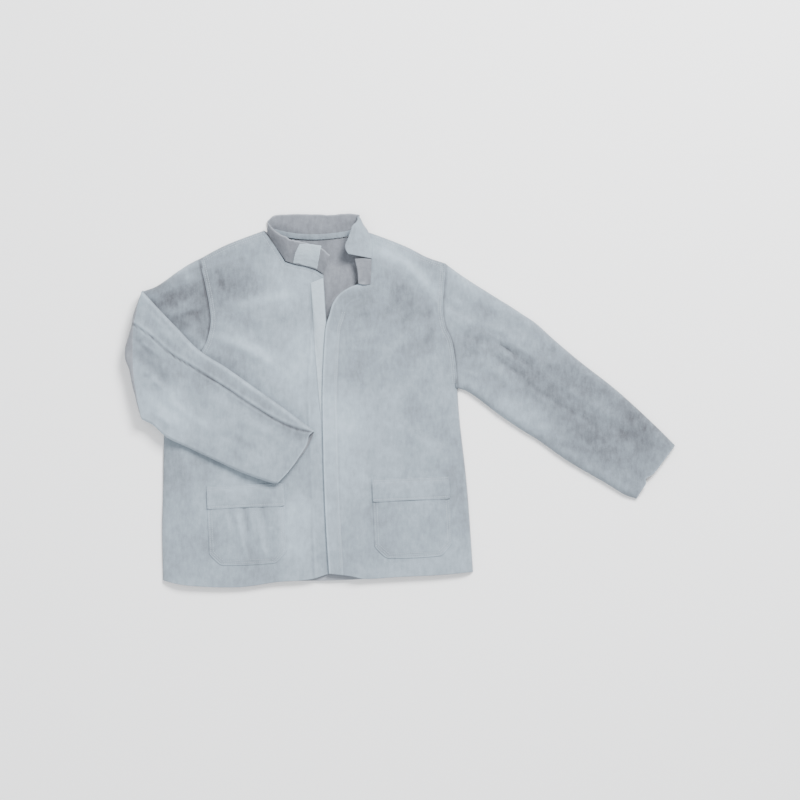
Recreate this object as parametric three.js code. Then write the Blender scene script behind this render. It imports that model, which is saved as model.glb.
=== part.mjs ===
// Leather welding jacket laid flat on its back panel, closed at the front.
// Millimetres, +Z up. The origin is under the back panel, at centre back on the underarm line.
// +X is the wearer's left, +Y runs to the collar.
import * as THREE from 'three';

// ---- leather and tape ----
const LEATHER = 1.4; // split leather of panels, sleeves, pockets and collar
const FACING = 1.2; // skived leather behind the front edges
const TAPE = 0.9; // hook and loop tape
const GAP = 0.3; // clearance between two layers that lie on each other
const SEAM_GAP = 0.5; // clearance between two panels side by side

// ---- how far the upper layer stands off the lower one ----
const UPPER_Z = 1.8; // underside of an upper layer at its seam with the layer below
const FRONT_LOFT = 12.2; // extra height of the fronts away from their seams
const FRONT_REACH = 45; // distance over which the fronts rise
const LEFT_SLEEVE_LOFT = 14;
const RIGHT_SLEEVE_LOFT = 12;
const SLEEVE_REACH = 40;
const FOREARM_Z = 26.8; // underside of the right forearm, folded over the front
const FOREARM_LOFT = 11;
const CLOSURE_RISE = 5.6; // the left front climbs this much to lie over the right front
const CLOSURE_FLAT = 60; // width of its raised edge
const CLOSURE_RAMP = 32; // distance over which it comes down again

// ---- closure ----
const LOOP_STRIP_WIDTH = 26;
const HOOK_STRIP_WIDTH = 20;
const RIGHT_FACING_WIDTH = 45;
const LEFT_FACING_WIDTH = 38;

// ---- patch pockets, both alike ----
const POCKET_WIDTH = 162;
const POCKET_DEPTH = 167;
const POCKET_CHAMFER = 26;
const POCKET_BULGE = 5;
const POCKET_EDGE = 12; // the bag rises to its full height within this distance
const POCKET_TURN = 2.5; // degrees
const MOUTH_Y = -18; // free upper edge of the bag, from the flap seam
const BAND_DEPTH = 12; // sewn part of the flap, above its fold
const BAND_RISE = 6.8;
const FLAP_DEPTH = 48;
const FLAP_Z = 24.9;
const PATCH = 30; // side of the tape patches
const RIGHT_POCKET = [-143.5, -202];
const LEFT_POCKET = [203, -187];

// ---- collar ----
const COLLAR_LIFT = 0.6; // clearance of the collar over the neckline
const COLLAR_PAIR = 1.8; // from the underside of the lining to the underside of the outer leather
const COLLAR_TOP_Z = 36;
const COLLAR_FOLD_Z = 19;

// ---- outlines, [x, y] ----
const SIDE_LEFT = [[334, -385], [321, -205], [305, -60], [301, 0]];
const ARM_LEFT = [[301, 0], [300, 17], [295, 67], [288, 103], [277, 126], [270, 164], [272, 202], [276.5, 261]];
const SHOULDER_LEFT = [[125.5, 322.8], [169, 306.6], [201, 293], [238, 274], [276.5, 261]];
const SIDE_RIGHT = [[-316, -403], [-316.5, -235], [-312, -60], [-302, 0]];
const ARM_RIGHT = [[-302, 0], [-262, 40], [-227.5, 89], [-219.5, 111], [-215, 140], [-218, 172], [-226, 214], [-239, 271]];
const SHOULDER_RIGHT = [[-239, 271], [-186, 299], [-105, 330]];
const BACK_NECK = [[-105, 330], [-96, 324], [-50, 314], [0, 310.5], [50, 314], [96, 322], [125.5, 322.8]];
const BACK_HEM = [[-316, -403], [60, -402], [334, -385]];

const RIGHT_NECK = [[-105, 330], [-98, 320], [-79, 293], [-60, 264], [-39.5, 258], [-15, 253], [3, 247], [20, 236]];
const RIGHT_EDGE = [[56, -385], [50, -250], [44, -100], [34, 27], [26, 140], [20, 236]];
const RIGHT_HEM = [[-316, -403], [-240, -416.5], [-153, -416.5], [-77, -406], [-6, -400], [34, -388], [56, -385]];

const LEFT_EDGE = [[33, -388], [27, -296], [22, -178], [20, -88], [19, -29], [20, 27], [24, 101], [27, 132]];
const LEFT_LAPEL = [[27, 132], [33.6, 153], [41, 177.5], [54.6, 196], [75.6, 210], [105, 220]];
const LEFT_NECK = [[105, 220], [118, 245], [122, 270], [122, 295], [117, 318], [113, 327]];
const LEFT_HEM = [[33, -388], [76, -393], [107, -399], [180, -395], [265, -391], [333.5, -386]];
const FOLD_TOP = [125, 323]; // the left front hinges along the line from here
const FOLD_FOOT = [327.8, -318]; // to here and beyond

// The left sleeve folds at X = 440, where its upper and lower parts meet.
const LEFT_TOP_A = [[277, 261], [313.5, 234], [372, 196.6], [415, 170], [439.7, 153.5]];
const LEFT_LOW_A = [[301.5, 0], [319, -2], [340, -15], [388.5, -52.5], [439.7, -88]];
const LEFT_TOP_B = [[440.2, 153.3], [463.5, 138], [506, 100], [560, 54.6], [635, -4], [720, -82], [758, -120]];
const LEFT_LOW_B = [[440.2, -88.3], [469, -106], [533, -152], [613, -199.5], [667, -231], [677, -232]];
const LEFT_CUFF = [[677, -232], [686, -216], [696.6, -200], [696, -190], [710, -181], [758, -120]];

const CREASE = [[-358, -66], [-375, 10], [-379, 75], [-376, 134], [-358, 203]];
const CREASE_LOW = [[-358, -66], [-375, 10], [-379, 75], [-376, 133.3]];
const CREASE_TOP = [[-376, 134.3], [-370, 165], [-358, 203]];
const RIGHT_TOP = [[-358, 203], [-332, 212.5], [-309.5, 227], [-290, 241.5], [-258, 262], [-239.5, 271]];
const RIGHT_LOW = [[-358, -66], [-335, -40], [-302.5, 0]];
const FOREARM_TOP = [[-358, 203], [-290, 130.6], [-239, 79], [-184, 43.7], [-120, -1.3], [-65, -40], [-29, -67], [2, -90]];
const FOREARM_SEAM = [[-376, 134], [-332, 101.6], [-300, 72.7], [-248, 40.5], [-187, 2], [-139, -30], [-81, -65.5],
  [-59, -75], [0.6, -92]];
const FOREARM_LOW = [[-358, -66], [-335, -78], [-309.5, -101], [-255, -128], [-204, -152], [-155, -174.7], [-107, -192],
  [-75, -199]];
const RIGHT_CUFF = [[-75, -199], [-55, -178], [-30, -146], [0, -93]];

// ---- materials ----
const leather = new THREE.MeshStandardMaterial({ name: 'split_leather', color: 0xacb6be, roughness: 0.9 });
const inner = new THREE.MeshStandardMaterial({ name: 'leather_inside', color: 0x9c9ea8, roughness: 0.95 });
const loops = new THREE.MeshStandardMaterial({ name: 'loop_tape', color: 0xc5d0d7, roughness: 1 });
const hooks = new THREE.MeshStandardMaterial({ name: 'hook_tape', color: 0x8e8a88, roughness: 0.8 });

const at = ([x, y, z = 0]) => new THREE.Vector3(x, y, z);

/** Evenly spaced points along one or more smooth runs, each [segments, anchor, anchor, ...]. */
function chain(...runs) {
  const points = [];
  for (const [segments, ...anchors] of runs) {
    const curve = new THREE.CatmullRomCurve3(anchors.map(at));
    const spaced = curve.getSpacedPoints(segments);
    points.push(...(points.length ? spaced.slice(1) : spaced));
  }
  return points;
}

/** The same points moved sideways. */
const moved = (points, dx, dy = 0) => points.map((p) => new THREE.Vector3(p.x + dx, p.y + dy, p.z));

/** Point (i, j) of the patch spanned by four edges: bottom and top run along +X, left and right along +Y. */
function patch(bottom, top, left, right) {
  const nx = bottom.length - 1;
  const ny = left.length - 1;
  const point = (i, j) => {
    const s = i / nx;
    const t = j / ny;
    const p = new THREE.Vector3();
    p.addScaledVector(bottom[i], 1 - t).addScaledVector(top[i], t);
    p.addScaledVector(left[j], 1 - s).addScaledVector(right[j], s);
    p.addScaledVector(bottom[0], -(1 - s) * (1 - t)).addScaledVector(bottom[nx], -s * (1 - t));
    p.addScaledVector(top[0], -(1 - s) * t).addScaledVector(top[nx], -s * t);
    return p;
  };
  return { nx, ny, point };
}

/** A patch whose rows run straight from one long edge to the other. */
function ruled(left, right, nx) {
  const across = (a, b) => Array.from({ length: nx + 1 }, (_, i) => a.clone().lerp(b, i / nx));
  const last = left.length - 1;
  return patch(across(left[0], right[0]), across(left[last], right[last]), left, right);
}

/** A closed sheet over a patch: `height` gives the underside of each point, `thickness` lies above it. */
function sheet(name, material, grid, height, thickness) {
  const geometry = new THREE.BoxGeometry(1, 1, 1, grid.nx, grid.ny, 1);
  const position = geometry.getAttribute('position');
  for (let k = 0; k < position.count; k += 1) {
    const i = Math.round((position.getX(k) + 0.5) * grid.nx);
    const j = Math.round((position.getY(k) + 0.5) * grid.ny);
    const p = grid.point(i, j);
    position.setXYZ(k, p.x, p.y, height(p) + (position.getZ(k) + 0.5) * thickness);
  }
  geometry.computeVertexNormals();
  const mesh = new THREE.Mesh(geometry, material);
  mesh.name = name;
  return mesh;
}

/** Distance in plan from a point to the nearest of several lines. */
function distance(point, lines) {
  const flat = new THREE.Vector3(point.x, point.y, 0);
  const near = new THREE.Vector3();
  let best = Infinity;
  for (const line of lines) {
    for (let k = 1; k < line.length; k += 1) {
      new THREE.Line3(line[k - 1], line[k]).closestPointToPoint(flat, true, near);
      best = Math.min(best, near.distanceTo(flat));
    }
  }
  return best;
}

/** 0 at the seam, 1 from `reach` on, steepest at the seam like leather rolled over its edge. */
const roll = (d, reach) => 1 - (1 - Math.min(d / reach, 1)) ** 2;

/** Underside height that starts at `base` on the seams and climbs by `loft`. */
const lofted = (base, loft, reach, seams) => (p) => base + loft * roll(distance(p, seams), reach);
const level = (z) => () => z;
const body = (name, ...children) => {
  const group = new THREE.Group();
  group.name = name;
  group.add(...children);
  return group;
};

// ---- shared edges ----
const armLeft = chain([8, ...ARM_LEFT]);
const armRight = chain([8, ...ARM_RIGHT]);
const sideLeft = chain([6, ...SIDE_LEFT]);
const sideRight = chain([6, ...SIDE_RIGHT]);
const shoulderLeft = chain([6, ...SHOULDER_LEFT]);
const shoulderRight = chain([3, ...SHOULDER_RIGHT]);
const leftEdge = chain([9, ...LEFT_EDGE], [4, ...LEFT_LAPEL]);
const rightEdge = chain([14, ...RIGHT_EDGE]);

// ---- back ----
const backGrid = patch(
  chain([11, ...BACK_HEM]),
  chain([3, ...SHOULDER_RIGHT], [5, ...BACK_NECK], [3, ...SHOULDER_LEFT]),
  chain([6, ...SIDE_RIGHT], [8, ...ARM_RIGHT]),
  chain([6, ...SIDE_LEFT], [8, ...ARM_LEFT]),
);
const back = sheet('back_panel', leather, backGrid, level(0), LEATHER);

// ---- right front, on its own layer over the back ----
const rightHeight = lofted(UPPER_Z, FRONT_LOFT, FRONT_REACH, [sideRight, shoulderRight]);
const FRONT_Z = UPPER_Z + FRONT_LOFT;
const FRONT_TOP = FRONT_Z + LEATHER;
const rightFrontGrid = patch(
  chain([8, ...RIGHT_HEM]),
  chain([3, ...SHOULDER_RIGHT], [5, ...RIGHT_NECK]),
  chain([6, ...SIDE_RIGHT], [8, ...ARM_RIGHT]),
  rightEdge,
);
const rightFront = sheet('right_front_panel', leather, rightFrontGrid, rightHeight, LEATHER);

const FACING_TOP = FRONT_Z - GAP;
const rightFacing = sheet(
  'right_front_facing',
  inner,
  ruled(moved(rightEdge, -RIGHT_FACING_WIDTH, -2), moved(rightEdge, -1, -2), 2),
  level(FACING_TOP - FACING),
  FACING,
);

const LOOP_Z = FRONT_TOP + GAP;
const stripRight = moved(rightEdge, -0.5, -3);
const stripLeft = stripRight.map((p) => {
  const covered = THREE.MathUtils.smoothstep(-p.y, 20, 120);
  return new THREE.Vector3(p.x - LOOP_STRIP_WIDTH + 3 * covered, p.y, 0);
});
const loopStrip = sheet('front_loop_strip', loops, ruled(stripLeft, stripRight, 1), level(LOOP_Z), TAPE);

// ---- left front: a moving panel and a side panel that stays on the body ----
const seamsLeft = [sideLeft, shoulderLeft];
const HOOK_Z = LOOP_Z + TAPE + GAP;
const LEFT_FACING_Z = HOOK_Z + TAPE + GAP;
const leftHeight = (p) => {
  const away = distance(p, [leftEdge]);
  const rise = 1 - THREE.MathUtils.smoothstep(away, CLOSURE_FLAT, CLOSURE_FLAT + CLOSURE_RAMP);
  return UPPER_Z + FRONT_LOFT * roll(distance(p, seamsLeft), FRONT_REACH) + CLOSURE_RISE * rise;
};
const leftFrontGrid = patch(
  chain([9, ...LEFT_HEM]),
  chain([9, LEFT_NECK.at(-1), [124.3, 323]]),
  chain([9, ...LEFT_EDGE], [4, ...LEFT_LAPEL], [3, ...LEFT_NECK]),
  chain([2, [333.5, -386], [329.4, -330]], [14, [329.4, -330], [124.3, 323]]),
);
const leftFront = sheet('left_front_panel', leather, leftFrontGrid, leftHeight, LEATHER);

const leftSideGrid = patch(
  chain([3, FOLD_FOOT, [329.2, -318]]),
  chain([3, ...SHOULDER_LEFT]),
  chain([14, FOLD_FOOT, SHOULDER_LEFT[0]]),
  chain([6, [329.2, -318], ...SIDE_LEFT.slice(1)], [8, ...ARM_LEFT]),
);
const leftSide = sheet('left_front_side_panel', leather, leftSideGrid, leftHeight, LEATHER);

const facingEdge = leftEdge.map((p, k) => {
  const lapel = Math.max(0, k - 8) / (leftEdge.length - 9);
  const width = LEFT_FACING_WIDTH * (1 - 0.55 * lapel);
  return new THREE.Vector3(p.x + width * Math.cos(1.1 * lapel), p.y - width * Math.sin(1.1 * lapel), 0);
});
const leftFacing = sheet(
  'left_front_facing',
  inner,
  ruled(moved(leftEdge, 1, 2).map((p, k) => (k > 9 ? p.add(at([1, -4])) : p)), facingEdge, 2),
  level(LEFT_FACING_Z),
  FACING,
);
const hookLine = leftEdge.slice(0, 10).map((p, k) => new THREE.Vector3(p.x + 4, p.y + 12 - 2 * k, 0));
const hookStrip = sheet(
  'front_hook_strip',
  hooks,
  ruled(hookLine, moved(hookLine, HOOK_STRIP_WIDTH), 1),
  level(HOOK_Z),
  TAPE,
);

// ---- sleeves ----
function sleeve(prefix, parts, bottom, top, start, end, base, loft) {
  const height = lofted(base + UPPER_Z, loft, SLEEVE_REACH, [bottom, top]);
  const grid = patch(bottom, top, start, end);
  return [
    sheet(`${prefix}_${parts[0]}`, leather, grid, level(base), LEATHER),
    sheet(`${prefix}_${parts[1]}`, leather, grid, height, LEATHER),
  ];
}
const LAYERS = ['under', 'top'];
const leftUpper = sleeve(
  'left_upper_sleeve',
  LAYERS,
  chain([4, ...LEFT_LOW_A]),
  chain([4, ...LEFT_TOP_A]),
  moved(armLeft, SEAM_GAP),
  chain([8, LEFT_LOW_A.at(-1), LEFT_TOP_A.at(-1)]),
  0,
  LEFT_SLEEVE_LOFT,
);
const leftLower = sleeve(
  'left_lower_sleeve',
  LAYERS,
  chain([8, ...LEFT_LOW_B]),
  chain([8, ...LEFT_TOP_B]),
  chain([8, LEFT_LOW_B[0], LEFT_TOP_B[0]]),
  chain([8, ...LEFT_CUFF]),
  0,
  LEFT_SLEEVE_LOFT,
);
const rightUpper = sleeve(
  'right_upper_sleeve',
  LAYERS,
  chain([3, ...RIGHT_LOW]),
  chain([3, ...RIGHT_TOP]),
  chain([8, ...CREASE]),
  moved(armRight, -SEAM_GAP),
  0,
  RIGHT_SLEEVE_LOFT,
);

// The right forearm lies turned over, so its seam runs along the upper layer.
const forearmLow = chain([10, ...FOREARM_LOW]);
const forearmTop = chain([10, ...FOREARM_TOP]);
const forearmHeight = lofted(FOREARM_Z + UPPER_Z, FOREARM_LOFT, SLEEVE_REACH, [forearmLow, forearmTop]);
const cuffRight = chain([5, ...RIGHT_CUFF]);
const forearmUnder = sheet(
  'right_lower_sleeve_under',
  leather,
  patch(forearmLow, forearmTop, chain([6, ...CREASE]), chain([6, ...RIGHT_CUFF, FOREARM_TOP.at(-1)])),
  level(FOREARM_Z),
  LEATHER,
);
const forearmMain = sheet(
  'right_lower_sleeve_top',
  leather,
  patch(forearmLow, moved(chain([10, ...FOREARM_SEAM]), -0.3, -0.9), chain([5, ...CREASE_LOW]), cuffRight),
  forearmHeight,
  LEATHER,
);
const forearmStrip = sheet(
  'right_lower_sleeve_back_strip',
  leather,
  patch(
    chain([10, ...FOREARM_SEAM]),
    forearmTop,
    chain([2, ...CREASE_TOP]),
    chain([2, FOREARM_SEAM.at(-1), FOREARM_TOP.at(-1)]),
  ),
  forearmHeight,
  LEATHER,
);

// ---- pockets, built in a frame whose origin is the middle of the flap seam ----
function pocket(side, [x, y], floor) {
  const half = POCKET_WIDTH / 2;
  const foot = -POCKET_DEPTH;
  const inset = half - POCKET_CHAMFER;
  const corner = foot + POCKET_CHAMFER;
  const bottom = chain(
    [2, [-half, corner], [-inset, foot]],
    [5, [-inset, foot], [inset, foot]],
    [2, [inset, foot], [half, corner]],
  );
  const left = chain([7, [-half, corner], [-half, MOUTH_Y]]);
  const right = moved(left, POCKET_WIDTH);
  const bagHeight = (p) => {
    const d = distance(p, [bottom, left, right]);
    return floor + GAP + 0.1 + POCKET_BULGE * THREE.MathUtils.smoothstep(d, 0, POCKET_EDGE);
  };
  const square = (x0, x1, y0, y1, nx = 1, ny = 1) => ruled(
    chain([ny, [x0, y0], [x0, y1]]),
    chain([ny, [x1, y0], [x1, y1]]),
    nx,
  );
  const bagTop = floor + GAP + 0.1 + POCKET_BULGE + LEATHER;
  const patchTop = -22;
  const patchGrid = square(-PATCH / 2, PATCH / 2, patchTop - 24, patchTop);
  const flapGrid = square(-half - 1, half + 1, -FLAP_DEPTH, -BAND_DEPTH - SEAM_GAP, 6, 2);
  const bandGrid = square(-half - 1, half + 1, -BAND_DEPTH, 0, 6, 2);
  const bandHeight = (p) => floor + GAP + 0.1 + BAND_RISE * THREE.MathUtils.smoothstep(-p.y, 0, BAND_DEPTH);
  const placed = (...children) => {
    const group = new THREE.Group();
    group.position.set(x, y, 0);
    group.rotation.z = THREE.MathUtils.degToRad(POCKET_TURN);
    group.add(...children);
    return group;
  };
  const fixed = placed(
    sheet(`${side}_pocket_bag`, leather, patch(bottom, chain([9, [-half, MOUTH_Y], [half, MOUTH_Y]]), left, right),
      bagHeight, LEATHER),
    sheet(`${side}_pocket_loop_patch`, loops, patchGrid, level(bagTop + GAP), TAPE),
    sheet(`${side}_pocket_flap_band`, leather, bandGrid, bandHeight, LEATHER),
  );
  const flap = placed(
    sheet(`${side}_pocket_flap`, leather, flapGrid, level(FLAP_Z), LEATHER),
    sheet(`${side}_flap_hook_patch`, hooks, patchGrid, level(FLAP_Z - GAP - TAPE), TAPE),
  );
  return { fixed, flap };
}
const pocketRight = pocket('right', RIGHT_POCKET, FRONT_TOP);
const pocketLeft = pocket('left', LEFT_POCKET, FRONT_TOP);

// ---- collar ----
const collarBackGrid = patch(
  chain([8, [-94, 326.5], [-50, 316.4], [0, 312.6], [50, 316.4], [86, 323]]),
  chain([8, [-94, 351], [-78, 362.5], [0, 364.5], [72, 364], [86, 361]]),
  chain([2, [-94, 326.5], [-94, 351]]),
  chain([2, [86, 323], [86, 361]]),
);
const tapeGrid = patch(
  chain([8, [-92, 327], [-50, 317.4], [0, 313.6], [50, 317.4], [84, 323.6]]),
  chain([8, [-92, 336], [-50, 327], [0, 323.6], [50, 327], [84, 331]]),
  chain([1, [-92, 327], [-92, 336]]),
  chain([1, [84, 323.6], [84, 331]]),
);
const collarBackOuter = sheet('collar_back_outer', leather, collarBackGrid, level(0), LEATHER);
const collarBackLining = sheet('collar_back_lining', inner, collarBackGrid, level(COLLAR_PAIR), LEATHER);
const neckTape = sheet('back_neck_tape', leather, tapeGrid, level(COLLAR_PAIR + LEATHER + GAP), TAPE);

/** Lining and outer leather of one half of the collar, from the neckline up to its free edge. */
function collarPair(names, foot, free, across, frontHeight) {
  const lifted = foot.map((p) => new THREE.Vector3(p.x, p.y, frontHeight(p) + LEATHER + COLLAR_LIFT));
  const outward = free[0].x < lifted[0].x;
  const grid = outward ? ruled(free, lifted, across) : ruled(lifted, free, across);
  return [
    sheet(names[0], inner, grid, (p) => p.z, LEATHER),
    sheet(names[1], leather, grid, (p) => p.z + COLLAR_PAIR, LEATHER),
    grid,
  ];
}

const rightFoot = [[-96, 321.5], [-77.5, 294.5], [-59.5, 267]];
const rightFree = [[-96, 343, COLLAR_FOLD_Z], [-70, 322, 30], [-41, 308, COLLAR_TOP_Z]];
const endFoot = [[-58.5, 266.4], [-39, 260.5], [-14.5, 255.5], [20, 240]];
const endFree = [[-40, 307.6, COLLAR_TOP_Z], [-3, 298, COLLAR_TOP_Z], [18, 290, COLLAR_TOP_Z], [36, 280, COLLAR_TOP_Z]];
// Rows of the right half run from the free edge to the neckline, columns from the fold to the front end.
function across(a, b, count) {
  return Array.from({ length: count + 1 }, (_, i) => a.clone().lerp(b, i / count));
}
function collarRight(names, foot, free, segments) {
  const lifted = foot.map(([x, y]) => at([x, y, rightHeight(at([x, y])) + LEATHER + COLLAR_LIFT]));
  const low = new THREE.CatmullRomCurve3(lifted).getSpacedPoints(segments);
  const high = new THREE.CatmullRomCurve3(free.map(at)).getSpacedPoints(segments);
  const grid = patch(low, high, across(low[0], high[0], 2), across(low.at(-1), high.at(-1), 2));
  return [
    sheet(names[0], inner, grid, (p) => p.z, LEATHER),
    sheet(names[1], leather, grid, (p) => p.z + COLLAR_PAIR, LEATHER),
    grid,
  ];
}
const [rightLining, rightOuter] = collarRight(['collar_right_lining', 'collar_right_outer'], rightFoot, rightFree, 4);
const [endLining, endOuter, endGrid] = collarRight(
  ['collar_right_end_lining', 'collar_right_end_outer'],
  endFoot,
  endFree,
  8,
);
const loopPatchGrid = { nx: 5, ny: 2, point: (i, j) => endGrid.point(i + 2, j) };
const loopPatch = sheet(
  'collar_loop_patch',
  loops,
  loopPatchGrid,
  (p) => p.z + COLLAR_PAIR + LEATHER + GAP,
  TAPE,
);

const leftFoot = chain([5, [119.5, 273], [119.5, 294], [114.5, 316], [106, 327.5]]);
const leftFree = chain([5, [68, 290, COLLAR_TOP_Z], [68, 305, COLLAR_TOP_Z], [75, 324, 31], [88.5, 345, COLLAR_FOLD_Z + 3]]);
const [leftLining, leftOuter] = collarPair(
  ['collar_left_lining', 'collar_left_outer'],
  leftFoot,
  leftFree,
  3,
  leftHeight,
);

// ---- collar tab, hanging from the left end of the collar over the left front ----
const TAB_Z = 24.2;
const tabGrid = patch(
  chain([2, [94, 218], [119, 217]]),
  chain([2, [88, 271], [120, 271]]),
  chain([3, [94, 218], [88, 271]]),
  chain([3, [119, 217], [120, 271]]),
);
const tabPatchGrid = patch(
  chain([2, [96, 224], [116, 223]]),
  chain([2, [77, 270.5], [117, 268]]),
  chain([3, [96, 224], [90, 254], [77, 270.5]]),
  chain([3, [116, 223], [117, 268]]),
);
const tab = sheet('collar_tab_leather', leather, tabGrid, level(TAB_Z), LEATHER);
const tabPatch = sheet('collar_tab_hook_patch', hooks, tabPatchGrid, level(TAB_Z - GAP - TAPE), TAPE);

const jacket = new THREE.Group();
jacket.name = 'leather_welding_jacket';
jacket.add(
  body('jacket_body', back, collarBackOuter, collarBackLining, neckTape, rightFront, rightFacing, loopStrip,
    leftSide, rightOuter, rightLining, pocketRight.fixed),
  body('left_front', leftFront, leftFacing, hookStrip, leftOuter, leftLining, pocketLeft.fixed),
  body('left_flap', pocketLeft.flap),
  body('right_flap', pocketRight.flap),
  body('right_collar_end', endOuter, endLining, loopPatch),
  body('collar_tab', tab, tabPatch),
  body('left_upper_sleeve', ...leftUpper),
  body('left_lower_sleeve', ...leftLower),
  body('right_upper_sleeve', ...rightUpper),
  body('right_lower_sleeve', forearmUnder, forearmMain, forearmStrip),
);

export default jacket;
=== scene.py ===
"""Leather welding jacket laid flat on its back: the pieces that are seen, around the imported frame."""

import logging
import math
from dataclasses import dataclass, field
from enum import Enum
from typing import Callable, Sequence

import bpy
import numpy as np
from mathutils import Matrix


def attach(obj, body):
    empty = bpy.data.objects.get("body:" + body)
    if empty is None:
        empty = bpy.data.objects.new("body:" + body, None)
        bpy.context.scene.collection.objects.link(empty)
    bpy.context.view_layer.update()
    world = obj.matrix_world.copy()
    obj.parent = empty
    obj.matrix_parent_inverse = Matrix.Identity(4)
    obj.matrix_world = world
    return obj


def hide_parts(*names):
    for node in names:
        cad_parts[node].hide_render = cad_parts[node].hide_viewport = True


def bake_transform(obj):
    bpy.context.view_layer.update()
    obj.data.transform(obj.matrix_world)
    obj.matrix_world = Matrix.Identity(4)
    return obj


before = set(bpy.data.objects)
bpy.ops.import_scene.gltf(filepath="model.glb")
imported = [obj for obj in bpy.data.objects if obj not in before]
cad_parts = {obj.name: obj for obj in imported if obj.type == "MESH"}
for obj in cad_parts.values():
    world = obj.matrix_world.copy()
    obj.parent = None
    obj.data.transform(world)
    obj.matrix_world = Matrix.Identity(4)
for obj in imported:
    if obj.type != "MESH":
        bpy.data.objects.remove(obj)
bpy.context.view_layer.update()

MM = 0.001
SEED = 41
TINY = 1e-9
LEAST_STEP = 0.45  # grid lines closer than this, in millimetres, are left out
Array = np.ndarray
Anchors = Sequence[Sequence[float]]
Height = Callable[[Array, Array], Array]
Edges = tuple["Line", "Line", "Line", "Line"]
Socket = bpy.types.NodeSocket
Material = bpy.types.Material
Thing = bpy.types.Object
Colour = tuple[float, float, float]
log = logging.getLogger("jacket")


class Slot(Enum):
    """Material slots of the record."""

    LEATHER = "split_leather"
    INSIDE = "leather_inside"
    LOOPS = "loop_tape"
    HOOKS = "hook_tape"


class Sum(Enum):
    """What a math node does with its two values."""

    ADD = "ADD"
    TIMES = "MULTIPLY"


# ---------------------------------------------------------------- lines and surfaces


def ease(share: Array) -> Array:
    """Smooth step from 0 to 1: three times the square less twice the cube.

    Args:
        share: any values; they are held between 0 and 1.

    Returns:
        The eased values.
    """
    held = np.clip(share, 0.0, 1.0)
    return held * held * (3.0 - 2.0 * held)


def bell(distance: Array, width: float) -> Array:
    """Bell curve of a distance: one at nought, about a third at the width."""
    return np.exp(-((distance / width) ** 2))


def smooth(anchors: Anchors, per_span: int = 10) -> Array:
    """Points of a smooth curve through anchors: cubic spans whose slopes come from the neighbours.

    Args:
        anchors: two or more points in the plane or in space.
        per_span: points made between two anchors.

    Returns:
        One row per point.
    """
    p = np.asarray(anchors, float)
    if len(p) == 2:
        return p[0] + (p[1] - p[0]) * np.linspace(0, 1, per_span + 1)[:, None]
    knot = np.r_[0, np.cumsum(np.sqrt(np.linalg.norm(np.diff(p, axis=0), axis=1)))]
    slope = np.gradient(p, knot, axis=0)
    u = np.linspace(0, knot[-1], per_span * (len(p) - 1) + 1)
    k = np.clip(np.searchsorted(knot, u, side="right") - 1, 0, len(p) - 2)
    span = (knot[k + 1] - knot[k])[:, None]
    q = (u - knot[k])[:, None] / span
    a = (1 + 2 * q) * (1 - q) ** 2 * p[k] + q**2 * (3 - 2 * q) * p[k + 1]
    return a + span * (q * (1 - q) ** 2 * slope[k] - q**2 * (1 - q) * slope[k + 1])


@dataclass(frozen=True)
class Line:
    """A line through space or in plan, kept as close points and the way travelled to each."""

    points: Array
    travel: Array

    @classmethod
    def through(cls, points: Array) -> "Line":
        """Line straight from each close point to the next."""
        steps = np.linalg.norm(np.diff(points, axis=0), axis=1)
        return cls(points, np.r_[0, np.cumsum(steps)])

    @classmethod
    def of(cls, *runs: Anchors) -> "Line":
        """Line through one or more runs of anchors, smooth in each run, with corners between runs."""
        parts = [smooth(run) for run in runs]
        return cls.through(np.concatenate([parts[0]] + [part[1:] for part in parts[1:]]))

    @property
    def length(self) -> float:
        """Whole length."""
        return float(self.travel[-1])

    def at(self, share: Array) -> Array:
        """Points at shares of the length, straight between the close points."""
        way = np.asarray(share, float) * self.length
        return np.stack([np.interp(way, self.travel, c) for c in self.points.T], axis=-1)

    def away(self, x: Array, y: Array) -> Array:
        """Distance in plan from each point to the nearest stretch of the line.

        Args:
            x: first coordinates.
            y: second coordinates, of the same shape.

        Returns:
            Distances of that shape.
        """
        q = np.stack([x, y], axis=-1)[..., None, :]
        a, b = self.points[:-1, :2], self.points[1:, :2]
        step = b - a
        share = ((q - a) * step).sum(-1) / np.maximum((step**2).sum(-1), TINY)
        foot = a + np.clip(share, 0, 1)[..., None] * step
        return np.linalg.norm(q - foot, axis=-1).min(-1)

    def moved(self, dx: float = 0.0, dy: float = 0.0) -> "Line":
        """The same line in plan, shifted."""
        return Line(self.points + [dx, dy], self.travel)

    def cut(self, first: float, last: float, count: int) -> "Line":
        """The stretch between two shares of the length."""
        return Line.through(self.at(np.linspace(first, last, count)))


def joined(*lines: Line) -> Line:
    """One line through several that follow each other."""
    return Line.through(np.concatenate([lines[0].points] + [line.points[1:] for line in lines[1:]]))


def beside(line: Line, gap: float, first: float = 0.0, last: float = 1.0, count: int = 160) -> Array:
    """Points that run beside a line in plan, at right angles to it.

    Args:
        line: the line to follow.
        gap: distance to its left, in millimetres; negative is to its right.
        first: share of the length to begin at.
        last: share of the length to end at.
        count: points to make.

    Returns:
        Rows of x and y.
    """
    p = line.at(np.linspace(first, last, count))[:, :2]
    run = np.gradient(p, axis=0)
    run /= np.linalg.norm(run, axis=1)[:, None]
    return p + gap * np.stack([-run[:, 1], run[:, 0]], axis=-1)


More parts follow.
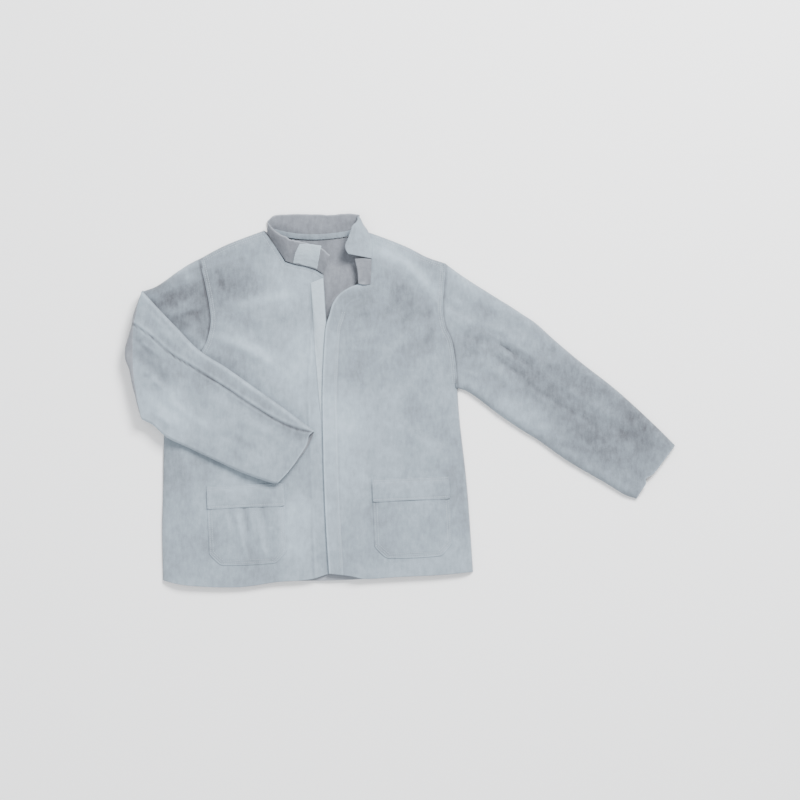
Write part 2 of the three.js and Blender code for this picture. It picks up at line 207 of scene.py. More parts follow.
def coons(edges: Edges, s: Array, t: Array) -> Array:
    """Surface spanned by four lines: both pairs of edges blended, less the blend of the corners.

    Args:
        edges: bottom, top, left and right line; the first two run along s, the others along t.
        s: shares from left to right.
        t: shares from bottom to top, of a shape that broadcasts with s.

    Returns:
        Points of the broadcast shape.
    """
    bottom, top, left, right = edges
    s, t = np.broadcast_arrays(s, t)
    u, v = s[..., None], t[..., None]
    lines = (1 - v) * bottom.at(s) + v * top.at(s) + (1 - u) * left.at(t) + u * right.at(t)
    low = (1 - u) * bottom.at(0.0) + u * bottom.at(1.0)
    high = (1 - u) * top.at(0.0) + u * top.at(1.0)
    return lines - (1 - v) * low - v * high


def shares(length: float, step: float) -> Array:
    """Grid shares along a length, finer at both ends.

    Args:
        length: the length, in millimetres.
        step: ordinary spacing.

    Returns:
        Rising shares from 0 to 1.
    """
    rim = np.array([0, 0.7, 1.8, 3.4, 5.6, 8.5])
    even = np.arange(rim[-1] + step, length - rim[-1] - step / 2, step)
    ways = np.unique(np.clip(np.concatenate([rim, length - rim, even]), 0, length))
    keep = np.r_[True, np.diff(ways) > LEAST_STEP]
    keep[-1] = True
    return ways[keep] / length


# ---------------------------------------------------------------- meshes


def quads(rows: int, columns: int, first: int = 0, closed: bool = False) -> Array:
    """Corner numbers of the quads of a grid, counter-clockwise seen from where columns run right.

    Args:
        rows: points along the second direction.
        columns: points along the first direction.
        first: number of the grid's first point.
        closed: whether the last column joins the first one.

    Returns:
        Four numbers per quad.
    """
    wide = columns if closed else columns - 1
    j, i = np.meshgrid(np.arange(rows - 1), np.arange(wide), indexing="ij")
    k = (i + 1) % columns
    corners = [j * columns + i, j * columns + k, (j + 1) * columns + k, (j + 1) * columns + i]
    return np.stack([c.ravel() for c in corners], axis=-1) + first


def rim_of(rows: int, columns: int) -> Array:
    """Point numbers round the edge of a grid, counter-clockwise."""
    grid = np.arange(rows * columns).reshape(rows, columns)
    return np.r_[grid[0, :-1], grid[:-1, -1], grid[-1, :0:-1], grid[:0:-1, 0]]


def normals(points: Array, closed: bool = False) -> Array:
    """Unit normals of a grid: the cross product of its two directions.

    Args:
        points: rows by columns by three.
        closed: whether columns join round.

    Returns:
        An array of the same shape.
    """
    along = np.gradient(points, axis=0)
    if closed:
        across = np.roll(points, -1, axis=1) - np.roll(points, 1, axis=1)
    else:
        across = np.gradient(points, axis=1)
    n = np.cross(across, along)
    return n / np.maximum(np.linalg.norm(n, axis=-1, keepdims=True), TINY)


@dataclass
class Shape:
    """Points in millimetres, quads over them, and which finish each quad takes."""

    points: Array
    faces: Array
    finish: Array

    def piece(self, name: str, materials: Sequence[Material], slot: Slot,
              tone: Height | None = None, sharp: float = 55.0) -> Thing:
        """Makes the Blender object.

        Args:
            name: the object's name.
            materials: materials, in the order that finish counts them.
            slot: the record's slot the piece takes its finish from; it is not used.
            tone: how much lighter or darker the colour is painted at each place in plan, for the hide's own areas and
                for painted light and shade.
            sharp: angle in degrees above which an edge is left sharp.

        Returns:
            The new object, at the origin.
        """
        mesh = bpy.data.meshes.new(name)
        mesh.vertices.add(len(self.points))
        mesh.vertices.foreach_set("co", (self.points * MM).astype(np.float32).ravel())
        mesh.loops.add(self.faces.size)
        mesh.loops.foreach_set("vertex_index", self.faces.astype(np.int32).ravel())
        mesh.polygons.add(len(self.faces))
        mesh.polygons.foreach_set("loop_start", np.arange(0, self.faces.size, 4, dtype=np.int32))
        mesh.polygons.foreach_set("material_index", self.finish.astype(np.int32))
        mesh.update(calc_edges=True)
        mesh.polygons.foreach_set("use_smooth", np.ones(len(self.faces), dtype=bool))
        mesh.set_sharp_from_angle(angle=math.radians(sharp))
        if tone is not None:
            values = tone(self.points[:, 0], self.points[:, 1]).astype(np.float32)
            mesh.attributes.new("tone", "FLOAT", "POINT").data.foreach_set("value", values)
        for material in materials:
            mesh.materials.append(material)
        made = bpy.data.objects.new(name, mesh)
        bpy.context.scene.collection.objects.link(made)
        log.info("%s: %d quads", name, len(self.faces))
        return made


def sheet(top: Array, thickness: float) -> Shape:
    """Closed sheet of leather: the given upper face, a lower face one thickness below it, a round rim.

    Args:
        top: upper face, rows by columns by three, columns running right when seen from above.
        thickness: thickness in millimetres, measured along the normal.

    Returns:
        The shape; upper face and rim take finish 0, the lower face takes finish 1.
    """
    rows, columns = top.shape[:2]
    n = normals(top)
    below = top - thickness * n
    ring = rim_of(rows, columns)
    flat_top, flat_below = top.reshape(-1, 3), below.reshape(-1, 3)
    middle = (flat_top[ring] + flat_below[ring]) / 2
    run = np.roll(middle, -1, axis=0) - np.roll(middle, 1, axis=0)
    out = np.cross(run, n.reshape(-1, 3)[ring])
    out /= np.maximum(np.linalg.norm(out, axis=1)[:, None], TINY)
    count = rows * columns
    points = np.concatenate([flat_top, flat_below, middle + 0.4 * thickness * out])
    upper = quads(rows, columns)
    lower = quads(rows, columns, count)[:, ::-1]
    following = np.roll(ring, -1)
    mid = np.arange(len(ring)) + 2 * count
    mid_next = np.roll(mid, -1)
    rim_low = np.stack([ring + count, following + count, mid_next, mid], axis=-1)
    rim_high = np.stack([mid, mid_next, following, ring], axis=-1)
    faces = np.concatenate([upper, lower, rim_low, rim_high])
    finish = np.r_[np.zeros(len(upper)), np.ones(len(lower)), np.zeros(2 * len(ring))]
    return Shape(points, faces, finish)


def tube(outer: Array, thickness: float) -> Shape:
    """Open tube of leather: a closed row of columns per station, a wall inwards, a lip at both ends.

    Args:
        outer: outer face, stations by columns by three, columns joining round.
        thickness: wall thickness in millimetres.

    Returns:
        The shape; the outer face and lips take finish 0, the inner face finish 1.
    """
    stations, columns = outer.shape[:2]
    n = normals(outer, closed=True)
    inner = outer - thickness * n
    count = stations * columns
    points = np.concatenate([outer.reshape(-1, 3), inner.reshape(-1, 3)])
    skin = quads(stations, columns, 0, True)
    lining = quads(stations, columns, count, True)[:, ::-1]
    ring = np.arange(columns)
    following = np.roll(ring, -1)
    last = (stations - 1) * columns
    near_lip = np.stack([ring + count, following + count, following, ring], axis=-1)
    far_lip = np.stack([ring, following, following + count, ring + count], axis=-1) + last
    faces = np.concatenate([skin, lining, near_lip, far_lip])
    finish = np.r_[np.zeros(len(skin)), np.ones(len(lining)), np.zeros(2 * columns)]
    return Shape(points, faces, finish)


def stitches(paths: Sequence[Array], pitch: float = 4.6, long: float = 3.3, radius: float = 0.42) -> Shape:
    """Thread beads laid end to end along rows: a six-sided bead is turned and moved to each place.

    Args:
        paths: rows as points in space, in millimetres.
        pitch: distance from one stitch to the next.
        long: visible length of a stitch.
        radius: half the thickness of the thread.

    Returns:
        One shape with every bead.
    """
    places, runs = [], []
    for path in paths:
        steps = np.linalg.norm(np.diff(path, axis=0), axis=1)
        travel = np.r_[0, np.cumsum(steps)]
        at = np.arange(pitch / 2, travel[-1] - pitch / 3, pitch)
        points = np.stack([np.interp(at, travel, c) for c in path.T], axis=-1)
        ahead = np.stack([np.interp(at + 0.5, travel, c) for c in path.T], axis=-1)
        behind = np.stack([np.interp(at - 0.5, travel, c) for c in path.T], axis=-1)
        places.append(points)
        runs.append(ahead - behind)
    centre, run = np.concatenate(places), np.concatenate(runs)
    run /= np.maximum(np.linalg.norm(run, axis=1)[:, None], TINY)
    side = np.cross([0.0, 0.0, 1.0], run)
    side /= np.maximum(np.linalg.norm(side, axis=1)[:, None], TINY)
    up = np.cross(run, side)
    sides, rings = 6, 4
    turn = np.linspace(0, 2 * math.pi, sides, endpoint=False)
    way = np.repeat(np.array([-0.5, -0.32, 0.32, 0.5]) * long, sides)
    girth = np.repeat(np.array([0.35, 1.0, 1.0, 0.35]) * radius, sides)
    wide, high = np.tile(np.cos(turn), rings) * girth, np.tile(np.sin(turn), rings) * girth
    drop = np.repeat(np.array([-0.45, 0.0, 0.0, -0.45]) * radius, sides)
    bead = way[:, None] * run[:, None, :] + wide[:, None] * side[:, None, :]
    bead = bead + (high + drop)[:, None] * up[:, None, :]
    points = (centre[:, None, :] + bead).reshape(-1, 3)
    skin = quads(rings, sides, 0, True)
    near_cap = np.array([[0, 3, 2, 1], [0, 5, 4, 3]])
    far_cap = np.array([[0, 1, 2, 3], [0, 3, 4, 5]]) + (rings - 1) * sides
    one = np.concatenate([skin, near_cap, far_cap])[:, ::-1]
    faces = (one[None] + rings * sides * np.arange(len(centre))[:, None, None]).reshape(-1, 4)
    return Shape(points, faces, np.zeros(len(faces)))


# ---------------------------------------------------------------- how leather lies


@dataclass(frozen=True)
class Fold:
    """One soft ridge or crease: a bell across a line that fades at both ends and may bow sideways."""

    start: tuple[float, float]
    end: tuple[float, float]
    height: float
    width: float
    bow: float = 0.0
    lean: float = 0.0

    def lift(self, x: Array, y: Array) -> Array:
        """Height it adds at points in plan.

        Args:
            x: first coordinates.
            y: second coordinates.

        Returns:
            Heights in millimetres.
        """
        a, b = np.array(self.start), np.array(self.end)
        length = np.linalg.norm(b - a)
        run = (b - a) / length
        u = ((x - a[0]) * run[0] + (y - a[1]) * run[1]) / length
        d = (y - a[1]) * run[0] - (x - a[0]) * run[1] - self.bow * 4 * u * (1 - u)
        fade = ease(u / 0.3) * ease((1 - u) / 0.3)
        return self.height * fade * bell(d, self.width) * (1 + self.lean * np.tanh(d / self.width))


@dataclass(frozen=True)
class Cockle:
    """Soft unevenness of a hide: a seeded sum of plane waves of about one wavelength."""

    wavelength: float
    height: float
    seed: int = SEED
    waves: int = 9

    def lift(self, x: Array, y: Array) -> Array:
        """Height it adds at points in plan: the mean of the sines, times the root of their number.

        Args:
            x: first coordinates.
            y: second coordinates.

        Returns:
            Heights in millimetres.
        """
        draw = np.random.default_rng(self.seed)
        turn = draw.uniform(0, 2 * math.pi, self.waves)
        size = self.wavelength * draw.uniform(0.7, 1.5, self.waves)
        phase = draw.uniform(0, 2 * math.pi, self.waves)
        way = np.cos(turn) * x[..., None] + np.sin(turn) * y[..., None]
        return self.height * np.sin(2 * math.pi * way / size + phase).sum(-1) / math.sqrt(self.waves)


@dataclass(frozen=True)
class Tone:
    """Lighter or darker area painted into a hide's colour, partly its own tone and partly painted light and shade: an
    oval bell in plan, turned about its middle.
    """

    x: float
    y: float
    wide: float
    tall: float
    lift_by: float
    turn: float = 0.0

    def lift(self, x: Array, y: Array) -> Array:
        """How much lighter it makes points in plan.

        Args:
            x: first coordinates.
            y: second coordinates.

        Returns:
            What it adds to the tone.
        """
        a = math.radians(self.turn)
        u = (x - self.x) * math.cos(a) + (y - self.y) * math.sin(a)
        v = (y - self.y) * math.cos(a) - (x - self.x) * math.sin(a)
        return self.lift_by * np.exp(-((u / self.wide) ** 2) - (v / self.tall) ** 2)


def drape(parts: Sequence["Fold | Cockle | Tone"], x: Array, y: Array) -> Array:
    """Sum of every fold, unevenness or tone at points in plan."""
    return sum((part.lift(x, y) for part in parts), np.zeros(np.shape(x)))


def hide(tones: Sequence[Tone], folds: Sequence[Fold | Cockle], per_mm: float = 0.07) -> Height:
    """Tone of a hide: its areas, and painted light and shade, lighter on the ridges of its folds and darker in their
    creases.

    Args:
        tones: light and dark areas, partly the hide's own and partly painted light and shade.
        folds: the folds of the piece.
        per_mm: painted light or shade per millimetre of a fold's height.

    Returns:
        The tone as a function of the plan.
    """
    # painted light on fold ridges and painted shade in creases, in step with the fold height
    return lambda x, y: drape(tones, x, y) + per_mm * drape(folds, x, y)


# ---------------------------------------------------------------- finishes


class Nodes:
    """Short way to build one material's node tree."""

    def __init__(self, name: str) -> None:
        """Starts a material with a shader and nothing else.

        Args:
            name: name of the material.
        """
        self.material = bpy.data.materials.new(name)
        self.material.use_nodes = True
        self.tree = self.material.node_tree
        self.tree.nodes.clear()
        self.out = self.tree.nodes.new("ShaderNodeOutputMaterial")
        self.shader = self.tree.nodes.new("ShaderNodeBsdfPrincipled")
        self.tree.links.new(self.shader.outputs["BSDF"], self.out.inputs["Surface"])
        self.place = self.tree.nodes.new("ShaderNodeTexCoord").outputs["Object"]

    def link(self, source: Socket, target: Socket) -> None:
        """Joins two sockets."""
        self.tree.links.new(source, target)

    def noise(self, scale: float, detail: float = 3.0, rough: float = 0.55,
              stretch: tuple[float, float, float] = (1, 1, 1)) -> Socket:
        """Noise of a number of cells per metre.

        Args:
            scale: cells per metre.
            detail: finer layers added.
            rough: how strong the finer layers are.
            stretch: factor on each axis before the noise is read.

        Returns:
            The noise value socket.
        """
        mapping = self.tree.nodes.new("ShaderNodeMapping")
        mapping.inputs["Scale"].default_value = stretch
        self.link(self.place, mapping.inputs["Vector"])
        node = self.tree.nodes.new("ShaderNodeTexNoise")
        node.inputs["Scale"].default_value = scale
        node.inputs["Detail"].default_value = detail
        node.inputs["Roughness"].default_value = rough
        self.link(mapping.outputs["Vector"], node.inputs["Vector"])
        return node.outputs["Fac"]

    def band(self, value: Socket, low: float, high: float, to_low: float,
             to_high: float) -> Socket:
        """Maps a value from one range to another, held at both ends.

        Args:
            value: the value socket.
            low: start of its range.
            high: end of its range.
            to_low: what the start becomes.
            to_high: what the end becomes.

        Returns:
            The mapped value socket.
        """
        node = self.tree.nodes.new("ShaderNodeMapRange")
        for key, number in (("From Min", low), ("From Max", high), ("To Min", to_low), ("To Max", to_high)):
            node.inputs[key].default_value = number
        self.link(value, node.inputs["Value"])
        return node.outputs["Result"]

    def worked(self, kind: Sum, a: Socket, b: Socket | float) -> Socket:
        """Sum or product of one socket and a socket or number.

        Args:
            kind: which of the two.
            a: first value.
            b: second value.

        Returns:
            The result's socket.
        """
        node = self.tree.nodes.new("ShaderNodeMath")
        node.operation = kind.value
        self.link(a, node.inputs[0])
        if isinstance(b, float):
            node.inputs[1].default_value = b
        else:
            self.link(b, node.inputs[1])
        return node.outputs["Value"]

    def mix(self, share: Socket, low: Colour, high: Colour) -> Socket:
        """Colour between two colours.

        Args:
            share: 0 for the first, 1 for the second.
            low: first colour.
            high: second colour.

        Returns:
            The colour socket.
        """
        node = self.tree.nodes.new("ShaderNodeMix")
        node.data_type = "RGBA"
        node.inputs["A"].default_value = (*low, 1)
        node.inputs["B"].default_value = (*high, 1)
        self.link(share, node.inputs["Factor"])
        return node.outputs["Result"]

    def bump(self, height: Socket, distance: float, strength: float,
             below: Socket | None = None) -> Socket:
        """Bump of the surface.

        Args:
            height: height socket, from 0 to 1.
            distance: height in metres that 1 stands for.
            strength: share of it that shows.
            below: a bump under this one.

        Returns:
            The normal socket.
        """
        node = self.tree.nodes.new("ShaderNodeBump")
        node.inputs["Distance"].default_value = distance
        node.inputs["Strength"].default_value = strength
        self.link(height, node.inputs["Height"])
        if below is not None:
            self.link(below, node.inputs["Normal"])
        return node.outputs["Normal"]


@dataclass(frozen=True)
class Suede:
    """Split leather: patches where the nap lies another way, mottling, loose fibres, fine grain."""

    name: str
    dark: tuple[float, float, float]
    light: tuple[float, float, float]
    patches: float = 7.0
    mottling: float = 55.0
    fibre: float = 900.0
    roughness: float = 0.92
    sheen: float = 0.25

    def build(self) -> Material:
        """Makes the material: weighted shares of four noises and the piece's tone, which holds its own areas and
        painted light and shade, set the colour.

        Returns:
            The material.
        """
        n = Nodes(self.name)
        broad = n.band(n.noise(self.patches, 3.0, 0.5), 0.32, 0.68, 0.0, 1.0)
        mottle = n.band(n.noise(self.mottling, 5.0, 0.62), 0.3, 0.7, 0.0, 1.0)
        streak = n.band(n.noise(150.0, 4.0, 0.6, (1.0, 0.35, 1.0)), 0.3, 0.7, 0.0, 1.0)
        fibres = n.noise(self.fibre, 3.0, 0.7)
        fluff = n.band(fibres, 0.3, 0.7, 0.0, 1.0)
        # the tone attribute brings the hide's own areas and painted light and shade into the colour
        tone = n.tree.nodes.new("ShaderNodeAttribute")
        tone.attribute_name = "tone"
        share = n.worked(Sum.ADD, tone.outputs["Fac"], 0.07)
        for layer, weight in ((broad, 0.18), (mottle, 0.22), (streak, 0.20), (fluff, 0.18)):
            share = n.worked(Sum.ADD, share, n.worked(Sum.TIMES, layer, weight))
        n.link(n.mix(n.band(share, -0.25, 1.0, 0.0, 1.0), self.dark, self.light), n.shader.inputs["Base Color"])
        rough = n.band(mottle, 0.0, 1.0, self.roughness - 0.05, self.roughness + 0.05)
        n.link(rough, n.shader.inputs["Roughness"])
        n.shader.inputs["Specular IOR Level"].default_value = 0.25
        n.shader.inputs["Sheen Weight"].default_value = self.sheen
        n.shader.inputs["Sheen Roughness"].default_value = 0.55
        pebble = n.bump(n.noise(330.0, 4.0, 0.6), 0.0006, 0.5)
        n.link(n.bump(fibres, 0.0003, 0.55, pebble), n.shader.inputs["Normal"])
        return n.material


@dataclass(frozen=True)
class Tape:
    """Hook or loop tape: close rows of small tufts over a woven ground."""

    name: str
    dark: tuple[float, float, float]
    light: tuple[float, float, float]
    rows: float = 520.0
    depth: float = 0.0005

    def build(self) -> Material:
        """Makes the material: cells are tufts, with painted light on their tops and painted shade between them, and
        fuzz over them.

        Returns:
            The material.
        """
        n = Nodes(self.name)
        cells = n.tree.nodes.new("ShaderNodeTexVoronoi")
        cells.inputs["Scale"].default_value = self.rows
        cells.inputs["Randomness"].default_value = 0.75
        n.link(n.place, cells.inputs["Vector"])
        tufts = n.band(cells.outputs["Distance"], 0.0, 0.6, 1.0, 0.0)
        fuzz = n.band(n.noise(60.0, 4.0, 0.6), 0.3, 0.7, 0.0, 1.0)
        # painted light on the tops of the tufts and painted shade between them
        share = n.worked(Sum.ADD, n.worked(Sum.TIMES, tufts, 0.55), n.worked(Sum.TIMES, fuzz, 0.45))
        n.link(n.mix(share, self.dark, self.light), n.shader.inputs["Base Color"])
        n.shader.inputs["Roughness"].default_value = 0.95
        n.shader.inputs["Sheen Weight"].default_value = 0.3
        n.link(n.bump(tufts, self.depth, 0.7), n.shader.inputs["Normal"])
        return n.material


@dataclass(frozen=True)
class Thread:
    """Waxed sewing thread with a twist along it."""

    name: str = "sewing_thread"
    colour: tuple[float, float, float] = (0.40, 0.45, 0.50)

    def build(self) -> Material:
        """Makes the material: fine noise for the twist, with painted shade in its hollows.

        Returns:
            The material.
        """
        n = Nodes(self.name)
        twist = n.noise(1400.0, 2.0, 0.5)
        dark = tuple(0.8 * c for c in self.colour)
        # painted shade in the hollows of the twist
        n.link(n.mix(twist, dark, self.colour), n.shader.inputs["Base Color"])
        n.shader.inputs["Roughness"].default_value = 0.6
        n.link(n.bump(twist, 0.0002, 0.4), n.shader.inputs["Normal"])
        return n.material


@dataclass
class Wardrobe:
    """Every finish of the jacket, built once."""

    outside: Material = field(init=False)
    inside: Material = field(init=False)
    loops: Material = field(init=False)
    hooks: Material = field(init=False)
    thread: Material = field(init=False)

    def __post_init__(self) -> None:
        """Builds the materials."""
        outside = Suede("suede_outside", dark=(0.068, 0.072, 0.084), light=(0.335, 0.412, 0.478))
        inside = Suede("suede_inside", dark=(0.0485, 0.051, 0.062), light=(0.256, 0.277, 0.312), mottling=80.0)
        loops = Tape("loop_pile", dark=(0.30, 0.365, 0.415), light=(0.42, 0.50, 0.56))
        hooks = Tape("hook_pile", dark=(0.12, 0.115, 0.11), light=(0.24, 0.232, 0.22), rows=620.0)
        self.outside, self.inside = outside.build(), inside.build()
        self.loops, self.hooks = loops.build(), hooks.build()
        self.thread = Thread().build()

    @property
    def leather(self) -> tuple[Material, Material]:
        """Outside finish above, inside finish below."""
        return self.outside, self.inside


# ---------------------------------------------------------------- the pattern, in millimetres


@dataclass(frozen=True)
class Pattern:
    """Seam lines and edges of the jacket as it lies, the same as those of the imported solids."""

    side_left: Line = Line.of([(334, -385), (321, -205), (305, -60), (301, 0)])
    arm_left: Line = Line.of([(301, 0), (300, 17), (295, 67), (288, 103), (277, 126), (270, 164), (272, 202),
                              (276.5, 261)])
    shoulder_left: Line = Line.of([(113, 327), (125.5, 322.8), (169, 306.6), (201, 293), (238, 274),
                                   (276.5, 261)])
    side_right: Line = Line.of([(-316, -403), (-318, -292), (-316.5, -235), (-312, -60), (-302, 0)])
    arm_right: Line = Line.of([(-302, 0), (-262, 40), (-227.5, 89), (-219.5, 111), (-215, 140), (-218, 172),
                               (-226, 214), (-239, 271)])
    shoulder_right: Line = Line.of([(-239, 271), (-186, 299), (-105, 330)])
    back_neck: Line = Line.of([(-105, 330), (-96, 324), (-50, 314), (0, 310.5), (50, 314), (96, 322),
                               (113, 327)])
    back_hem: Line = Line.of([(-316, -403), (-200, -404), (60, -402), (200, -393), (334, -385)])
    right_neck: Line = Line.of([(-105, 330), (-98, 320), (-79, 293), (-60, 264)],
                               [(-60, 264), (-39.5, 258), (-15, 253), (3, 247), (20, 236)])
    right_edge: Line = Line.of([(56, -385), (50, -250), (44, -100), (34, 27), (26, 140), (20, 236)])
    right_hem: Line = Line.of([(-316, -403), (-280, -411), (-240, -415), (-153, -416.5), (-77, -406),
                               (-6, -400), (34, -388), (56, -385)])
    left_edge: Line = Line.of([(33, -388), (27, -296), (22, -178), (20, -88), (19, -29), (20, 27), (24, 101),
                               (27, 132), (33.6, 153), (41, 177.5), (54.6, 196), (75.6, 210), (105, 220)])
    left_neck: Line = Line.of([(105, 220), (118, 245), (122, 270), (122, 295), (117, 318), (113, 327)])
    left_hem: Line = Line.of([(33, -388), (76, -393), (107, -399), (180, -395), (265, -391), (334, -385)])
    crease: Line = Line.of([(-358, -66), (-375, 10), (-379, 75), (-376, 134), (-358, 203)])


PATTERN = Pattern()
LEATHER = 1.4
FACING = 1.2
TAPE = 0.9
GAP = 0.3  # between two layers that lie on each other
THREAD_RISE = 0.15  # a row of stitches stands this much proud


# ---------------------------------------------------------------- heights of the layers


@dataclass(frozen=True)
class Lay:
    """Height of the upper face of each layer at points in plan, with the folds of the leather."""

    seam: float = 3.2
    loft: float = 12.2
    reach: float = 40.0
    fold_reach: float = 45.0
    climb: float = 5.6
    climb_flat: float = 52.0
    climb_ramp: float = 36.0
    band: float = 1.1
    band_width: float = 27.0
    band_step: float = 4.5
    folds: tuple[Fold | Cockle, ...] = (
        Cockle(170, 0.9),
        Cockle(70, 0.32, SEED + 1),
        # right front: soft folds from the armhole and under the forearm
        Fold((-228, 150), (-60, 20), 2.6, 17, 8),
        Fold((-215, 215), (-70, 120), 1.8, 14, -6),
        Fold((-120, 300), (-40, 150), 1.6, 16, 6),
        Fold((-192, 160), (-28, 196), 2.0, 12, 4),
        Fold((-300, -60), (-220, -330), 1.6, 18, 6),
        Fold((-15, 240), (12, 20), -2.4, 4, 1),
        Fold((-222, 114), (-60, 28), 2.6, 10, 10),
        Fold((-205, 255), (-190, 195), -2.0, 6, 3),
        Fold((-26, 238), (-2, 0), 1.4, 6, 2),
        Fold((-45, -210), (-52, -395), 2.2, 15, -6),
        Fold((-15, -180), (12, -395), -1.2, 9, 5),
        # left front: folds from the armhole, above the pocket and down the side
        Fold((270, 150), (120, 40), 2.4, 18, -10),
        Fold((280, 95), (150, -60), 2.0, 17, -8),
        Fold((170, 290), (90, 60), 1.4, 17, 6),
        Fold((128, 298), (264, 172), 2.4, 11, 15),
        Fold((150, -60), (300, -175), 2.6, 15, 8),
        Fold((233, 235), (234, -70), -1.6, 11, 8),
        Fold((100, -120), (92, -380), 1.9, 15, 5),
        Fold((60, 60), (72, -330), 1.0, 13, -5),
        Fold((300, -170), (322, -380), -1.4, 10, 4),
    )

    def front(self, x: Array, y: Array) -> Array:
        """Upper face of the right front, and of the left front where it isn't lifted by the closure.

        Args:
            x: first coordinates.
            y: second coordinates.

        Returns:
            Heights in millimetres.
        """
        lines = (PATTERN.side_left, PATTERN.side_right, PATTERN.shoulder_left, PATTERN.shoulder_right)
        away = np.minimum.reduce([line.away(x, y) for line in lines])
        u = np.clip(away / self.reach, 0, 1)
        rolled = np.sqrt(1 - (1 - u) ** 2)
        return self.seam + self.loft * rolled + drape(self.folds, x, y) * ease(away / self.fold_reach)

    def left(self, x: Array, y: Array) -> Array:
        """Upper face of the left front: it climbs over the right front along its edge.

        Args:
            x: first coordinates.
            y: second coordinates.

        Returns:
            Heights in millimetres.
        """
        away = PATTERN.left_edge.away(x, y)
        over = 1 - ease((away - self.climb_flat) / self.climb_ramp)
        band = self.band * (1 - ease((away - self.band_width) / self.band_step))
        return self.front(x, y) + self.climb * over + band


LAY = Lay()
# Areas painted lighter or darker on the fronts: partly the hide's own tone, partly painted light and shade of folds
# and edges.
FRONT_TONES = (
    Tone(-185, 205, 85, 75, -0.42), Tone(-25, 50, 42, 110, 0.3), Tone(-165, 40, 60, 50, -0.14),
    Tone(-30, -290, 36, 120, 0.22), Tone(-290, -150, 45, 60, -0.2), Tone(-105, -230, 24, 60, -0.1),
    Tone(45, -90, 40, 150, 0.28), Tone(120, -90, 70, 50, 0.08), Tone(125, 165, 85, 60, -0.34),
    Tone(170, 275, 50, 12, 0.3, -28), Tone(228, 232, 50, 13, 0.34, -50), Tone(185, 200, 65, 32, -0.28, -45),
    Tone(215, 90, 70, 70, -0.16), Tone(205, -60, 30, 130, -0.22), Tone(85, 30, 65, 65, -0.14),
    Tone(-105, 186, 75, 12, 0.2, 10), Tone(-95, 140, 75, 15, -0.16, 6), Tone(-143, -270, 90, 90, 0.1),
    Tone(290, -190, 40, 90, -0.18), Tone(245, 245, 40, 30, -0.24), Tone(150, -290, 70, 80, -0.05),
    Tone(-70, 240, 60, 22, 0.12, -20), Tone(-150, 92, 70, 11, 0.2, -18), Tone(300, 60, 30, 60, -0.16),
)


def front_tone(x: Array, y: Array) -> Array:
    """Tone of the fronts: their areas, painted light and shade on their folds, a painted highlight along the edge of
    the left front, and painted light and shade at the step beside its band.

    Args:
        x: first coordinates.
        y: second coordinates.

    Returns:
        The tone.
    """
    away = PATTERN.left_edge.away(x, y)
    straight = 1 - 0.75 * ease((y - 90) / 60)
    # painted highlight along the edge of the left front, stronger at the lapel
    cut = (0.42 - 0.12 * straight) * bell(away - 1.0, 2.5)
    # painted light on top of the step beside the band, painted shade at its foot
    step = 0.16 * bell(away - LAY.band_width, 1.6) - 0.2 * bell(away - LAY.band_width - LAY.band_step, 1.8)
    return hide(FRONT_TONES, LAY.folds)(x, y) + cut + straight * step


def settled(points: Array, height: Height, above: float = 0.0) -> Array:
    """Points in plan, set on a surface.

    Args:
        points: last axis holds x and y.
        height: height of the surface.
        above: distance over it, in millimetres.

    Returns:
        Points in space.
    """
    x, y = points[..., 0], points[..., 1]
    return np.stack([x, y, height(x, y) + above], axis=-1)


def panel(edges: Edges, step: float, rims: tuple[Sequence[float], ...] = ((), (), (), ())) -> Array:
    """Grid over a panel in plan, with grid lines at fixed distances from each edge.

    Args:
        edges: bottom, top, left and right edge.
        step: spacing of the ordinary grid lines.
        rims: distances of the extra lines from the left, right, bottom and top edge.

    Returns:
        Rows by columns by two.
    """
    even = np.linspace(0, 1, 33)
    rough = coons(edges, even[None, :], even[:, None])[..., :2]
    wide = np.linalg.norm(np.diff(rough, axis=1), axis=-1).sum(1)
    tall = np.linalg.norm(np.diff(rough, axis=0), axis=-1).sum(0)
    near, far, low, high = [np.unique(np.r_[0, 0.8, 2.2, 4.5, rim]) for rim in rims]
    across = max(int((wide.mean() - near[-1] - far[-1]) / step), 2)
    along = max(int((tall.mean() - low[-1] - high[-1]) / step), 2)

    def spread(first: Array, last: Array, whole: Array, count: int) -> Array:
        """Shares of a length: fixed distances at both ends, even ones between them.

        Args:
            first: distances from the start.
            last: distances from the end.
            whole: the lengths, one per row.
            count: even steps between them.

        Returns:
            One row of shares per length.
        """
        start, stop = first[-1] / whole, 1 - last[-1] / whole
        inner = np.linspace(0, 1, count + 1)[1:-1]
        middle = start[:, None] + (stop - start)[:, None] * inner
        return np.concatenate([first / whole[:, None], middle, 1 - last[::-1] / whole[:, None]], axis=1)

    nominal_t = spread(low, high, np.array([tall.mean()]), along)[0]
    s = spread(near, far, np.interp(nominal_t, even, wide), across)
    nominal_s = s.mean(0)
    t = spread(low, high, np.interp(nominal_s, even, tall), along).T
    return coons(edges, s, t)[..., :2]


def between(low: Line, high: Line) -> Edges:
    """Edges of a panel between two lines that run the same way: they are its left and right edge."""
    ends = [Line.of([low.points[k], high.points[k]]) for k in (0, -1)]
    return ends[0], ends[1], low, high


BAND_ROWS = (22.6, 23.6, 24.6, 25.6, 26.6, 27.6, 28.6, 29.6, 30.6)  # grid lines along the band of the left front
SEAM_ROWS = (2.6, 3.4, 4.2, 5.2, 6.4, 7.8, 8.6, 9.4, 11.0)  # grid lines along a seam and its stitches


